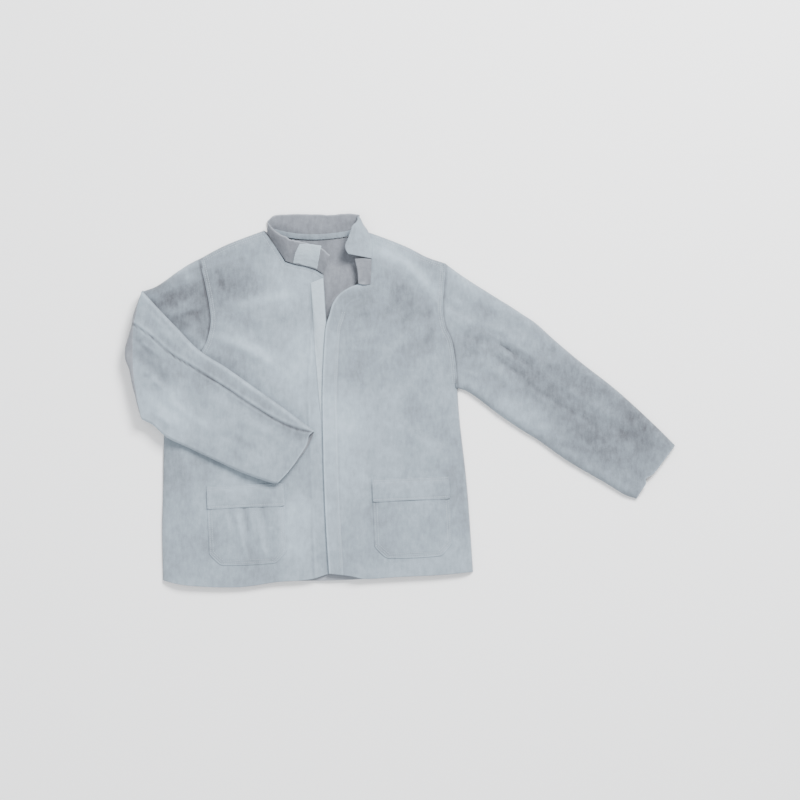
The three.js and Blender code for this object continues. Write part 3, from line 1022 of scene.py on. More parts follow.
@dataclass
class Piece:
    """What every sub-assembly shares: its finishes, and the making of leather, tape and stitches."""

    wear: Wardrobe

    def leather(self, name: str, top: Array, thickness: float = LEATHER, turned: bool = False,
                tone: Height | None = None) -> Thing:
        """Makes a sheet of leather under a given upper face.

        Args:
            name: name of the piece.
            top: upper face.
            thickness: its thickness.
            turned: whether the inside of the hide faces up.
            tone: lighter and darker places painted into the colour: the hide's own and painted light and shade.

        Returns:
            The piece.
        """
        finishes = self.wear.leather[::-1] if turned else self.wear.leather
        slot = Slot.INSIDE if turned else Slot.LEATHER
        return sheet(top, thickness).piece(name, finishes, slot, tone or front_tone)

    def tape(self, name: str, top: Array, hooks: bool = False, thickness: float = TAPE) -> Thing:
        """Makes a strip of hook or loop tape under a given upper face.

        Args:
            name: name of the piece.
            top: upper face.
            hooks: whether it is hook tape.
            thickness: its thickness.

        Returns:
            The piece.
        """
        finish = self.wear.hooks if hooks else self.wear.loops
        slot = Slot.HOOKS if hooks else Slot.LOOPS
        return sheet(top, thickness).piece(name, (finish, finish), slot)

    def sewn(self, name: str, rows: Sequence[Array]) -> Thing:
        """Makes the stitches along rows of points in space."""
        return stitches(rows).piece(name, (self.wear.thread,), Slot.LEATHER)


# ---------------------------------------------------------------- body


@dataclass
class Back(Piece):
    """Back panel, seen from its inside at the neck and under the hems."""

    step: float = 7.0

    def tone(self, x: Array, y: Array) -> Array:
        """Tone of the inside: that of the fronts, with painted light along the hem, where the fronts shade it."""
        # painted light along the hem
        return front_tone(x, y) + 0.9 * ease((-370 - y) / 15)

    def build(self) -> None:
        """Makes the back panel: flat on the ground, a little raised at the neck and under the hems."""
        top = Line.of([(-239, 271), (-186, 299), (-105, 330)], PATTERN.back_neck.points[::10],
                      [(113, 327), (125.5, 322.8), (169, 306.6), (201, 293), (238, 274), (276.5, 261)])
        left = joined(PATTERN.side_right, PATTERN.arm_right)
        right = joined(PATTERN.side_left, PATTERN.arm_left)
        plan = panel((PATTERN.back_hem, top, left, right), self.step)

        def height(x: Array, y: Array) -> Array:
            """Leather on the ground, plus its rise along the hem and a broad one at the neck."""
            hem = 1.2 + Cockle(60, 0.25, SEED + 5).lift(x, y) + 7.0 * bell(x - 48, 70)
            return LEATHER + ease((-330 - y) / 60) * hem + Tone(52, 215, 75, 62, 9.0).lift(x, y)

        piece = self.leather("back", settled(plan, height), turned=True, tone=self.tone)
        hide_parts("back_panel")
        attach(piece, "jacket_body")


def pressed(height: Height, rows: Sequence[tuple[Line, float]], depth: float = 0.8, width: float = 1.7) -> Height:
    """A surface pulled down along rows of stitches that run beside lines.

    Args:
        height: the surface.
        rows: lines and the distance of a row from each.
        depth: how far the thread pulls the leather down.
        width: half width of the hollow.

    Returns:
        The new surface.
    """

    def lower(x: Array, y: Array) -> Array:
        """Height with every hollow taken off."""
        return height(x, y) - depth * sum(bell(line.away(x, y) - gap, width) for line, gap in rows)

    return lower


@dataclass
class RightFront(Piece):
    """Right front with its facing and the long strip of loop tape."""

    step: float = 4.2
    strip_width: float = 26.0
    facing_width: float = 45.0
    rows: tuple[float, float] = (4.0, 8.6)
    neck_row: float = 7.0

    def surface(self) -> Height:
        """Upper face, with the hollows of its stitches.

        Returns:
            The height in plan.
        """
        p = PATTERN
        seams = [(line, gap) for line in (p.arm_right, p.shoulder_right) for gap in self.rows]
        return pressed(LAY.front, seams + [(p.right_neck, self.neck_row)])

    def build(self) -> None:
        """Makes the panel, facing, strip and stitches."""
        p = PATTERN
        top, side = joined(p.shoulder_right, p.right_neck), joined(p.side_right, p.arm_right)
        plan = panel((p.right_hem, top, side, p.right_edge), self.step, (SEAM_ROWS, (), (), SEAM_ROWS))
        surface = self.surface()
        front = self.leather("right_front", settled(plan, surface))
        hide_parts("right_front_panel")
        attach(front, "jacket_body")
        facing = self.facing()
        strip = self.strip()
        seam = self.sewn("right_front_stitches", self.rows_of_stitches(surface))
        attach(seam, "jacket_body")

    def rows_of_stitches(self, surface: Height) -> list[Array]:
        """Rows beside the armhole, shoulder and neck.

        Args:
            surface: the pressed upper face.

        Returns:
            Rows of points in space.
        """
        p = PATTERN
        plans = [beside(p.arm_right, -gap, 0.02, 0.99) for gap in self.rows]
        plans += [beside(p.shoulder_right, -gap, 0.05, 0.97) for gap in self.rows]
        plans.append(beside(p.right_neck, -self.neck_row, 0.05, 0.97))
        return [settled(plan, surface, THREAD_RISE) for plan in plans]

    def facing(self) -> Thing:
        """Makes the skived facing under the front edge.

        Returns:
            The piece.
        """
        edge = PATTERN.right_edge
        plan = panel(between(edge.moved(-self.facing_width, -2), edge.moved(-1, -2)), 7.0)
        piece = self.leather("right_facing", settled(plan, LAY.front, -LEATHER - GAP), FACING, turned=True)
        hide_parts("right_front_facing")
        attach(piece, "jacket_body")
        return piece

    def strip(self) -> Thing:
        """Makes the strip of loop tape: its ground is flat, its pile stands a little prouder in the middle.

        Returns:
            The piece.
        """
        outer = PATTERN.right_edge.moved(-0.6, -3).cut(0.005, 0.995, 90)
        shift = self.strip_width - 3 * ease((-outer.points[:, 1] - 20) / 100)
        points = outer.points - np.stack([shift, 11 * ease((outer.points[:, 1] - 205) / 30)], axis=-1)
        plan = panel(between(Line(points, outer.travel), outer), 4.0, ((1.2, 2.4), (1.2, 2.4), (), ()))
        top = settled(plan, LAY.front, GAP + TAPE)
        across = np.linspace(0, 1, plan.shape[1])[None, :]
        pile = 0.5 * np.sin(math.pi * across) ** 0.5
        top[..., 2] += pile + Cockle(16, 0.12, SEED + 9).lift(plan[..., 0], plan[..., 1])
        piece = self.tape("loop_strip", top, thickness=TAPE)
        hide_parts("front_loop_strip")
        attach(piece, "jacket_body")
        return piece


@dataclass
class LeftFront(Piece):
    """Left front, with its facing and hook strip, and the soft hinge line beside the side seam, which nothing here
    uses.
    """

    step: float = 4.2
    fold_top: tuple[float, float] = (125.0, 323.0)
    fold_foot: tuple[float, float] = (327.8, -318.0)
    fold_body: float = 26.0
    fold_front: float = 12.0
    fold_height: float = 16.0
    rows: tuple[float, float] = (4.0, 8.6)
    edge_rows: tuple[float, float] = (24.6, 29.4)
    neck_row: float = 7.0

    def fold(self) -> tuple[Array, Array]:
        """Soft hinge of the front, square to its line.

        Returns:
            Its start on the body's side and its end on the front's side, in metres.
        """
        top, foot = np.array(self.fold_top), np.array(self.fold_foot)
        run = (foot - top) / np.linalg.norm(foot - top)
        side = np.array([-run[1], run[0]])
        middle = (top + foot) / 2
        start, end = middle + self.fold_body * side, middle - self.fold_front * side
        return np.append(start, self.fold_height) * MM, np.append(end, self.fold_height) * MM

    def bend(self, piece: Thing) -> None:
        """Bakes the piece's placement into its mesh."""
        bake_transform(piece)

    def surface(self) -> Height:
        """Upper face, with the hollows of its stitches.

        Returns:
            The height in plan.
        """
        p = PATTERN
        seams = [(line, gap) for line in (p.arm_left, p.shoulder_left) for gap in self.rows]
        seams += [(p.left_edge, gap) for gap in self.edge_rows]
        return pressed(LAY.left, seams + [(p.left_neck, self.neck_row)])

    def build(self) -> None:
        """Makes the panel, facing, hook strip and stitches."""
        p = PATTERN
        edge, side = joined(p.left_edge, p.left_neck), joined(p.side_left, p.arm_left)
        rims = (BAND_ROWS, SEAM_ROWS, (), SEAM_ROWS)
        plan = panel((p.left_hem, p.shoulder_left, edge, side), self.step, rims)
        surface = self.surface()
        front = self.leather("left_front_leather", settled(plan, surface))
        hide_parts("left_front_panel", "left_front_side_panel")
        self.bend(front)
        facing = self.facing()
        strip = self.strip()
        seam = self.sewn("left_front_stitches", self.rows_of_stitches(surface))
        self.bend(seam)

    def rows_of_stitches(self, surface: Height) -> list[Array]:
        """Rows beside the armhole, shoulder, neck and front edge.

        Args:
            surface: the pressed upper face.

        Returns:
            Rows of points in space.
        """
        p = PATTERN
        plans = [beside(p.arm_left, gap, 0.02, 0.99) for gap in self.rows]
        plans += [beside(p.shoulder_left, -gap, 0.1, 0.97) for gap in self.rows]
        plans += [beside(p.left_edge, -gap, 0.015, 0.86) for gap in self.edge_rows]
        plans.append(beside(p.left_neck, -self.neck_row, 0.08, 0.9))
        return [settled(plan, surface, THREAD_RISE) for plan in plans]

    def facing(self) -> Thing:
        """Makes the facing along the front edge and the lapel: it narrows towards the neck.

        Returns:
            The piece.
        """
        outer = Line.of(beside(PATTERN.left_edge, -1.0, 0.004, 0.99, 60))
        run = np.gradient(outer.points, axis=0)
        run /= np.linalg.norm(run, axis=1)[:, None]
        width = 36 - 20 * ease((outer.travel / outer.length - 0.7) / 0.3)
        inner = Line.through(outer.points + width[:, None] * np.stack([run[:, 1], -run[:, 0]], axis=-1))
        plan = panel(between(outer, inner), 7.0)
        piece = self.leather("left_facing", settled(plan, LAY.left, -LEATHER - GAP), FACING, turned=True)
        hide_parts("left_front_facing")
        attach(piece, "left_front")
        return piece

    def strip(self) -> Thing:
        """Makes the hook strip under the facing.

        Returns:
            The piece.
        """
        outer, inner = [Line.of(beside(PATTERN.left_edge, gap, 0.02, 0.69, 50)) for gap in (-4.0, -24.0)]
        top = settled(panel(between(outer, inner), 6.0), LAY.left, -LEATHER - FACING - 2 * GAP)
        piece = self.tape("hook_strip", top, hooks=True)
        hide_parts("front_hook_strip")
        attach(piece, "left_front")
        return piece


# ---------------------------------------------------------------- pockets


@dataclass
class Pocket(Piece):
    """Patch pocket, with a bag, two squares of tape and a flap."""

    side: str = "right"
    middle: tuple[float, float] = (-143.5, -202.0)
    under: Height = LAY.front
    body: str = "jacket_body"
    half: float = 81.0
    depth: float = 167.0
    chamfer: float = 26.0
    mouth: float = -18.0
    turn: float = 2.5
    bulge: float = 2.6
    flap_depth: float = 48.0
    wrinkles: tuple[Fold, ...] = ()

    def place(self, u: Array, v: Array) -> Array:
        """Turns the pocket's own coordinates into the plan."""
        a = math.radians(self.turn)
        x = self.middle[0] + u * math.cos(a) - v * math.sin(a)
        return np.stack([x, self.middle[1] + u * math.sin(a) + v * math.cos(a)], axis=-1)

    def square(self, left: float, right: float, low: float, high: float, step: float,
               rims: tuple[Sequence[float], ...] = ((), (), (), ())) -> Array:
        """Grid over a rectangle in the pocket's own coordinates."""
        corners = [(left, low), (right, low), (left, high), (right, high)]
        a, b, c, d = corners
        return panel((Line.of([a, b]), Line.of([c, d]), Line.of([a, c]), Line.of([b, d])), step, rims)

    def bag_edges(self) -> Edges:
        """Bottom with its cut corners, mouth, left and right edge."""
        h, foot, corner = self.half, -self.depth, -self.depth + self.chamfer
        inset = h - self.chamfer
        soft = 5.0
        bottom = Line.of([(-h, corner), (-h + 3, corner - soft), (-inset - soft, foot + 2.5), (-inset, foot)],
                         [(-inset, foot), (0, foot - 1.5), (inset, foot)],
                         [(inset, foot), (inset + soft, foot + 2.5), (h - 3, corner - soft), (h, corner)])
        top = Line.of([(-h, self.mouth), (0, self.mouth - 1.0), (h, self.mouth)])
        return bottom, top, Line.of([(-h, corner), (-h, self.mouth)]), Line.of([(h, corner), (h, self.mouth)])

    def bag_top(self, u: Array, v: Array) -> Array:
        """Upper face of the bag: it puffs up away from its sewn edges and wrinkles."""
        bottom, _, left, right = self.bag_edges()
        away = np.minimum.reduce([line.away(u, v) for line in (bottom, left, right)])
        puff = 0.35 + 0.65 * ease((away - 2) / 12) - 0.16 * bell(away - 3.4, 1.1) - 0.14 * bell(away - 8.6, 1.1)
        plan = self.place(u, v)
        lift = drape(self.wrinkles, plan[..., 0], plan[..., 1]) * ease((away - 6) / 18)
        return self.under(plan[..., 0], plan[..., 1]) + 0.5 + self.bulge * puff + lift

    def build(self) -> None:
        """Makes the bag, flap, tapes and stitches."""
        grid = panel(self.bag_edges(), 3.6, (SEAM_ROWS, SEAM_ROWS, SEAM_ROWS, (6.0, 8.0)))
        plan = self.place(grid[..., 0], grid[..., 1])
        height = self.bag_top(grid[..., 0], grid[..., 1])
        # painted light on the ridges of the bag's wrinkles and painted shade in their creases
        tone = hide(FRONT_TONES, (*LAY.folds, *self.wrinkles), 0.085)
        bag = self.leather(f"{self.side}_bag", np.concatenate([plan, height[..., None]], axis=-1), tone=tone)
        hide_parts(f"{self.side}_pocket_bag")
        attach(bag, self.body)
        patch = self.patch(f"{self.side}_loop_square", False)
        self.flap()
        seam = self.sewn(f"{self.side}_bag_stitches", self.bag_rows())
        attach(seam, self.body)

    def bag_rows(self) -> list[Array]:
        """Rows of stitches round the bag and along its mouth."""
        bottom, _, left, right = self.bag_edges()
        h, foot, corner = self.half, -self.depth, -self.depth + self.chamfer
        rows = []
        for gap in (3.4, 8.6):
            k = gap * 0.42
            path = Line.of([(-h + gap, self.mouth), (-h + gap, corner + k)],
                           [(-h + gap, corner + k), (-h + self.chamfer + k, foot + gap)],
                           [(-h + self.chamfer + k, foot + gap), (h - self.chamfer - k, foot + gap)],
                           [(h - self.chamfer - k, foot + gap), (h - gap, corner + k)],
                           [(h - gap, corner + k), (h - gap, self.mouth)]).at(np.linspace(0, 1, 200))
            rows.append(path)
        return [np.concatenate([self.place(p[:, 0], p[:, 1]), self.bag_top(p[:, 0], p[:, 1])[:, None] + 0.15], axis=-1)
                for p in rows]

    def patch(self, name: str, hooks: bool) -> Thing:
        """Makes one square of tape, on the bag or under the flap."""
        grid = self.square(-15, 15, -46, -22, 3.0)
        plan = self.place(grid[..., 0], grid[..., 1])
        if hooks:
            height = self.flap_face(grid[..., 0], grid[..., 1]) - LEATHER - 0.2
        else:
            height = self.bag_top(grid[..., 0], grid[..., 1]) + 0.2 + TAPE
        piece = self.tape(name, np.concatenate([plan, height[..., None]], axis=-1), hooks)
        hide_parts(f"{self.side}_{'flap_hook' if hooks else 'pocket_loop'}_patch")
        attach(piece, f"{self.side}_flap" if hooks else self.body)
        return piece

    def flap_face(self, u: Array, v: Array) -> Array:
        """Upper face of band and flap: it rises from the flap seam to its fold and lies nearly flat beyond."""
        plan = self.place(u, v)
        seam = self.under(plan[..., 0], plan[..., 1]) + 1.5
        ripple = Cockle(60, 0.3, SEED + 12).lift(plan[..., 0], plan[..., 1])
        high = 2.7 + ripple + 1.6 * bell(u, 30) * bell(v + 34, 22)
        press = 0.45 * (bell(v + 3.4, 1.1) + bell(v + 8.4, 1.1) + bell(v + self.flap_depth - 5, 1.1))
        return seam + high * ease(-v / 17) - press

    def flap(self) -> None:
        """Makes band and flap as one bent sheet, with its hook square and stitches."""
        edge = -self.flap_depth
        h = self.half - 0.6
        soft = Line.of([(-h, edge + 1.5), (-h + 5, edge), (0, edge + 0.8), (h - 5, edge), (h, edge + 1.5)])
        lines = (soft, Line.of([(-h, 0), (h, 0)]), Line.of([(-h, edge + 1.5), (-h, 0)]), Line.of([(h, edge + 1.5), (h, 0)]))
        grid = panel(lines, 3.4, ((), (), (3.2, 4.2, 5.0, 5.8, 6.8), SEAM_ROWS))
        plan = self.place(grid[..., 0], grid[..., 1])
        height = self.flap_face(grid[..., 0], grid[..., 1])
        flap = self.leather(f"{self.side}_flap_leather", np.concatenate([plan, height[..., None]], axis=-1))
        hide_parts(f"{self.side}_pocket_flap_band", f"{self.side}_pocket_flap")
        hooks = self.patch(f"{self.side}_hook_square", True)
        rows = []
        for v in (-3.4, -8.4, edge + 5):
            u = np.linspace(-h + 2, h - 2, 80)
            where = self.place(u, np.full(80, v))
            rows.append(np.concatenate([where, self.flap_face(u, np.full(80, v))[:, None] + 0.15], axis=-1))
        seam = self.sewn(f"{self.side}_flap_stitches", rows)
        start = np.append(self.place(np.array(0.0), np.array(-6.0)), 24.0) * MM
        end = np.append(self.place(np.array(0.0), np.array(-19.0)), 24.0) * MM
        for piece in (flap, seam):
            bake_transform(piece)


# ---------------------------------------------------------------- sleeves


@dataclass(frozen=True)
class Tubing:
    """A flattened sleeve between two edge lines: rolled edges, a nearly flat underside, a crowned top."""

    low: Line
    top: Line
    near: Line
    far: Line
    floor: Height
    crown: Height
    upper_roll: float = 17.0
    lower_roll: float = 6.0
    lip: float = 4.6
    columns: int = 44
    far_under: Line | None = None

    def around(self) -> tuple[Array, Array, Array]:
        """Positions round the tube: how far into a roll each step goes, as a share of it, how high it has risen, and
        the shares across the flat part.

        Returns:
            Depth into a roll as a share of it, the rise from 0 to 1 at the same steps, and the shares across between
            the rolls.
        """
        turn = np.linspace(0, math.pi / 2, 8)
        rolled = 1 - np.cos(turn)
        flat = np.linspace(0, 1, self.columns)[1:-1]
        return rolled, np.sin(turn), flat

    def skin(self, u: Array) -> Array:
        """Outer face at shares of the length.

        Args:
            u: shares from the near end to the far end.

        Returns:
            Stations by columns by three.
        """
        edges = (self.low, self.top, self.near, self.far)
        rough = coons(edges, u[:, None], np.linspace(0, 1, 21)[None, :])[..., :2]
        wide = np.linalg.norm(np.diff(rough, axis=1), axis=-1).sum(1)[:, None]
        rolled, _, flat = self.around()
        share = []
        for roll in (self.upper_roll, self.lower_roll):
            r = roll / wide
            share.append(np.concatenate([r * rolled, r + (1 - 2 * r) * flat, 1 - r * rolled[::-1]], axis=1))
        count = share[0].shape[1]
        upper = coons(edges, u[:, None], share[0][:, ::-1])[..., :2]
        lower = coons((*edges[:3], self.far_under or self.far), u[:, None], share[1])[..., :2]
        _, rise, _ = self.around()
        lift = np.concatenate([rise, np.ones(count - 16), rise[::-1]])[None, :]
        floor = self.floor(lower[..., 0], lower[..., 1])
        middle_low = self.floor(upper[..., 0], upper[..., 1]) + self.lip
        crown = self.crown(upper[..., 0], upper[..., 1])
        high = middle_low + (crown - middle_low) * lift
        below = floor + self.lip * (1 - lift)
        top = np.concatenate([upper, high[..., None]], axis=-1)
        under = np.concatenate([lower, below[..., None]], axis=-1)
        return np.concatenate([top, under[:, 1:-1]], axis=1)


LEFT_LOW = Line.of([(300, 3), (319, -2), (340, -15), (388.5, -52.5), (440, -88), (469, -106), (533, -152),
                    (613, -199.5), (655, -225), (677, -232)])
LEFT_TOP = Line.of([(274, 262.5), (313.5, 234), (372, 196.6), (415, 170), (440, 153.5), (463.5, 138), (506, 100),
                    (560, 54.6), (635, -4), (720, -82), (758, -120)])
LEFT_CUFF = Line.of([(677, -232), (686, -216), (696.6, -200), (696, -190), (710, -181), (735, -150), (758, -120)])
RIGHT_LOW = Line.of([(-358, -66), (-335, -40), (-300, 3)])
RIGHT_TOP = Line.of([(-358, 203), (-332, 212.5), (-309.5, 227), (-290, 241.5), (-258, 262), (-237, 272)])
FOREARM_LOW = Line.of([(-358, -66), (-335, -78), (-309.5, -101), (-255, -128), (-204, -152), (-155, -174.7),
                       (-107, -192), (-85, -199), (-75, -199)])
FOREARM_TOP = Line.of([(-358, 203), (-324, 166), (-290, 130.6), (-239, 79), (-184, 43.7), (-120, -1.3), (-65, -40),
                       (-29, -67), (2, -90)])
FOREARM_SEAM = Line.of([(-376, 134), (-332, 101.6), (-300, 72.7), (-248, 40.5), (-187, 2), (-139, -30), (-81, -65.5),
                        (-40, -84), (0, -93)])
RIGHT_CUFF = Line.of([(-75, -199), (-55, -178), (-31, -146), (-14, -118), (-8, -98), (2, -90)])
RIGHT_CUFF_UNDER = Line.of([(-75, -199), (-54, -178), (-28, -146), (-6, -112), (2, -90)])


@dataclass
class Sleeves(Piece):
    """Both sleeves: the left one lies out, the right forearm is folded over the front."""

    step: float = 4.2
    left_folds: tuple[Fold | Cockle, ...] = (
        Cockle(95, 0.8, SEED + 20), Cockle(38, 0.35, SEED + 21),
        Fold((258, 175), (352, 118), 3.2, 11, 5), Fold((300, 150), (500, 62), 2.6, 12, 8),
        Fold((280, 235), (420, 150), 1.6, 10, -5), Fold((296, 60), (420, 20), 2.2, 13, 6),
        Fold((366, 104), (468, 34), -3.0, 4.5, 4), Fold((388, 108), (490, 44), 2.4, 6, 3),
        Fold((378, 88), (452, 38), 2.2, 4, -2), Fold((372, 72), (446, 22), -2.8, 4.5, -3),
        Fold((396, 66), (440, 44), -1.8, 3.2, 2), Fold((350, 124), (410, 100), -2.0, 4, 3),
        Fold((384, 98), (430, 66), -1.6, 2.6, -1), Fold((404, 84), (446, 52), 1.4, 2.6, 1),
        Fold((286, 150), (326, 122), 1.8, 4, -2), Fold((276, 190), (322, 168), 1.4, 5, 2),
        Fold((300, 38), (352, 20), 1.8, 6, 3), Fold((318, 56), (372, 46), -1.4, 6, -3),
        Fold((462, 36), (680, -104), 2.6, 10, 6), Fold((270, 176), (330, 142), -2.4, 5, 3),
        Fold((430, 24), (560, -60), -1.8, 6, -4), Fold((500, -20), (640, -120), -1.4, 8, 3),
        Fold((290, 120), (400, 96), -2.0, 8, -5), Fold((330, 60), (440, -10), 1.8, 10, 5),
        Fold((560, 10), (700, -100), 1.6, 12, -6),
        Fold((380, -20), (520, -110), 2.0, 13, 6), Fold((600, -60), (720, -150), -1.8, 12, 5),
    )
    right_folds: tuple[Fold | Cockle, ...] = (
        Cockle(85, 0.8, SEED + 30), Cockle(36, 0.35, SEED + 31),
        Fold((-225, 190), (-330, 150), 2.6, 12, 6), Fold((-235, 235), (-350, 180), 2.0, 11, -5),
        Fold((-230, 140), (-300, 90), 2.0, 12, 4), Fold((-226, 170), (-286, 150), -1.8, 5, 3),
        Fold((-240, 240), (-276, 232), 1.8, 5, 2),
    )
    forearm_folds: tuple[Fold | Cockle, ...] = (
        Cockle(90, 0.8, SEED + 40), Cockle(38, 0.35, SEED + 41),
        Fold((-385, 150), (-300, 40), 3.0, 12, 8), Fold((-390, 100), (-290, 0), -2.6, 10, -6),
        Fold((-380, 60), (-270, -60), 2.8, 13, 6), Fold((-372, 0), (-250, -95), 2.4, 13, -6),
        Fold((-340, 130), (-230, 50), 2.0, 10, 4), Fold((-250, 0), (-90, -110), 1.8, 15, 8),
        Fold((-220, -80), (-100, -150), -1.6, 10, 5), Fold((-378, 110), (-340, 60), -2.2, 5, 3),
        Fold((-370, 40), (-310, -20), -2.2, 7, 4), Fold((-300, -20), (-200, -95), 2.0, 9, -6),
        Fold((-160, -60), (-40, -130), 1.5, 10, 5), Fold((-366, 96), (-322, 66), 2.0, 4.5, 3),
        Fold((-362, 14), (-312, 4), 1.8, 6, 4), Fold((-340, -50), (-290, -84), 1.6, 6, 3),
        Fold((-352, 172), (-300, 118), 1.8, 5, -3), Fold((-300, 108), (-246, 66), -1.4, 5, 2),
    )

    # Areas painted lighter or darker on each part: partly the hide's own tone, partly painted light and shade.
    left_tones: tuple[Tone, ...] = (
        Tone(640, -90, 190, 160, -0.46), Tone(480, 30, 120, 70, -0.26), Tone(430, -60, 120, 18, 0.14, -35),
        Tone(570, -170, 150, 18, 0.16, -30), Tone(370, 185, 90, 20, 0.06, -32), Tone(330, 80, 50, 80, -0.16),
        Tone(550, -72, 100, 18, -0.12, -40), Tone(420, 60, 60, 22, -0.08, -38),
        Tone(390, 150, 150, 60, -0.14, -34),
    )
    right_tones: tuple[Tone, ...] = (Tone(-285, 170, 130, 100, -0.6), Tone(-226, 92, 14, 8, 0.4, 35), Tone(-265, 257, 50, 9, 0.3, 32))
    forearm_tones: tuple[Tone, ...] = (
        Tone(-330, -20, 60, 60, 0.12), Tone(-250, -60, 90, 40, 0.2, -30), Tone(-40, -85, 45, 22, -0.4, -30),
        Tone(-350, 120, 60, 50, -0.16), Tone(-120, -140, 80, 30, 0.1, -25), Tone(-180, 10, 90, 16, -0.12, -33),
        Tone(-295, 45, 75, 60, -0.28), Tone(-340, 150, 12, 50, 0.12, 50),
    )

    def forearm_tone(self, x: Array, y: Array) -> Array:
        """Tone of the forearm: its areas, painted light and shade on its folds, painted shade along its seam, painted
        highlights on the ridge above it, along the cuff and beside its upper edge, and painted light along its lower
        edge.
        """
        seam = FOREARM_SEAM.away(x, y)
        above = y - np.interp(x, FOREARM_SEAM.points[:, 0], FOREARM_SEAM.points[:, 1])
        # painted shade in the hollow of the seam, painted highlights on the ridge above it and along the cuff
        lines = -0.5 * bell(seam, 1.7) + 0.18 * bell(above - 7, 3.5) + 0.35 * bell(RIGHT_CUFF.away(x, y), 2.2)
        # painted light along the lower edge, against the shade of its roll, and a painted highlight beside the upper
        # edge
        lines = lines + 0.3 * bell(FOREARM_LOW.away(x, y), 6.0) + 0.16 * bell(FOREARM_TOP.away(x, y) - 4, 4.0)
        return hide(self.forearm_tones, self.forearm_folds)(x, y) + lines

    def build(self) -> None:
        """Makes the two tubes of each sleeve and the roll at the right elbow."""
        self.left()
        self.right()
        self.forearm()
        self.elbow()

    def left(self) -> None:
        """Makes the left sleeve as two tubes that meet exactly a little above the fold of the elbow."""
        arm = PATTERN.arm_left

        def crown(x: Array, y: Array) -> Array:
            """Upper face: it follows the front at the armhole and has its own folds beyond."""
            away = np.maximum(arm.away(x, y), 0)
            own = 17.0 - 3.0 * ease((x - 560) / 200) + drape(self.left_folds, x, y)
            front = 13.4 + 0.55 * drape(self.left_folds, x, y)
            share = ease(away / 50)
            return front * (1 - share) + own * share

        def floor(x: Array, y: Array) -> Array:
            """Underside: on the ground, just over the back panel at the armhole."""
            return 1.8 * (1 - ease((arm.away(x, y) - 2) / 10))

        near = Line.of(beside(arm, 3.0, 0.0, 1.0, 60))
        near.points[0], near.points[-1] = LEFT_LOW.points[0], LEFT_TOP.points[0]
        form = Tubing(LEFT_LOW, LEFT_TOP, near, LEFT_CUFF, floor, crown)
        share = 0.275
        length = LEFT_LOW.length
        upper = tube(form.skin(np.linspace(0, share, int(length * share / self.step))), LEATHER)
        rest = np.r_[np.linspace(share, 0.975, int(length * 0.7 / self.step)), 0.982, 0.988, 0.993, 0.997, 1.0]
        lower = tube(form.skin(rest), LEATHER)
        def tone(x: Array, y: Array) -> Array:
            """Tone of the sleeve: its areas, painted light and shade on its folds, painted shade in the seam of the
            armhole and a painted highlight along the cuff.
            """
            # painted highlight along the edge of the cuff
            rim = 0.3 * bell(LEFT_CUFF.away(x, y), 2.2)
            # painted shade in the seam of the armhole
            return hide(self.left_tones, self.left_folds, 0.05)(x, y) - 0.5 * bell(arm.away(x, y), 3.0) + rim

        first = upper.piece("left_upper_arm", self.wear.leather, Slot.LEATHER, tone)
        second = lower.piece("left_lower_arm", self.wear.leather, Slot.LEATHER, tone)
        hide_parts("left_upper_sleeve_under", "left_upper_sleeve_top")
        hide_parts("left_lower_sleeve_under", "left_lower_sleeve_top")
        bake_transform(first)
        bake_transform(second)

    def right(self) -> None:
        """Makes the short upper part of the right sleeve, from the armhole to the crease at the elbow."""
        arm = PATTERN.arm_right

        def crown(x: Array, y: Array) -> Array:
            """Upper face: it follows the front at the armhole."""
            share = ease(arm.away(x, y) / 50)
            own = 15.2 + drape(self.right_folds, x, y)
            return (13.6 + 0.5 * drape(self.right_folds, x, y)) * (1 - share) + own * share

        def floor(x: Array, y: Array) -> Array:
            """Underside: on the ground, just over the back panel at the armhole."""
            return 1.8 * (1 - ease((arm.away(x, y) - 2) / 10))

        far = Line.of(beside(arm, -3.0, 0.0, 1.0, 60))
        far.points[0], far.points[-1] = RIGHT_LOW.points[-1], RIGHT_TOP.points[-1]
        form = Tubing(RIGHT_LOW, RIGHT_TOP, PATTERN.crease, far, floor, crown)
        def tone(x: Array, y: Array) -> Array:
            """Tone of the sleeve: its areas, painted light and shade on its folds, and painted shade in the seam of
            the armhole.
            """
            # painted shade in the seam of the armhole
            return hide(self.right_tones, self.right_folds)(x, y) - 0.5 * bell(arm.away(x, y), 3.0)

        made = tube(form.skin(np.linspace(0, 1, 34)), LEATHER)
        piece = made.piece("right_upper_arm", self.wear.leather, Slot.LEATHER, tone)
        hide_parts("right_upper_sleeve_under", "right_upper_sleeve_top")
        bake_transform(piece)

    def forearm_floor(self, x: Array, y: Array) -> Array:
        """Underside: highest over the upper arm, down on the front past it, up again to clear the pocket flap."""
        over = 5.0 * ease((-250 - x) / 50) + 3.5 * ease((-335 - x) / 40)
        return 16.9 + over + 4.9 * ease((x + 178) / 40) + 0 * y

    def forearm_crown(self, x: Array, y: Array) -> Array:
        """Upper face of the folded forearm, with the hollow and the ridge of its seam."""
        seam = FOREARM_SEAM.away(x, y)
        line = FOREARM_SEAM.points
        above = y - np.interp(x, line[:, 0], line[:, 1])
        ridge = -2.2 * bell(seam, 2.3) + 1.6 * bell(above - 7, 4.0) + 0.7 * bell(above + 6, 4)
        return self.forearm_floor(x, y) + 13.4 + drape(self.forearm_folds, x, y) + ridge

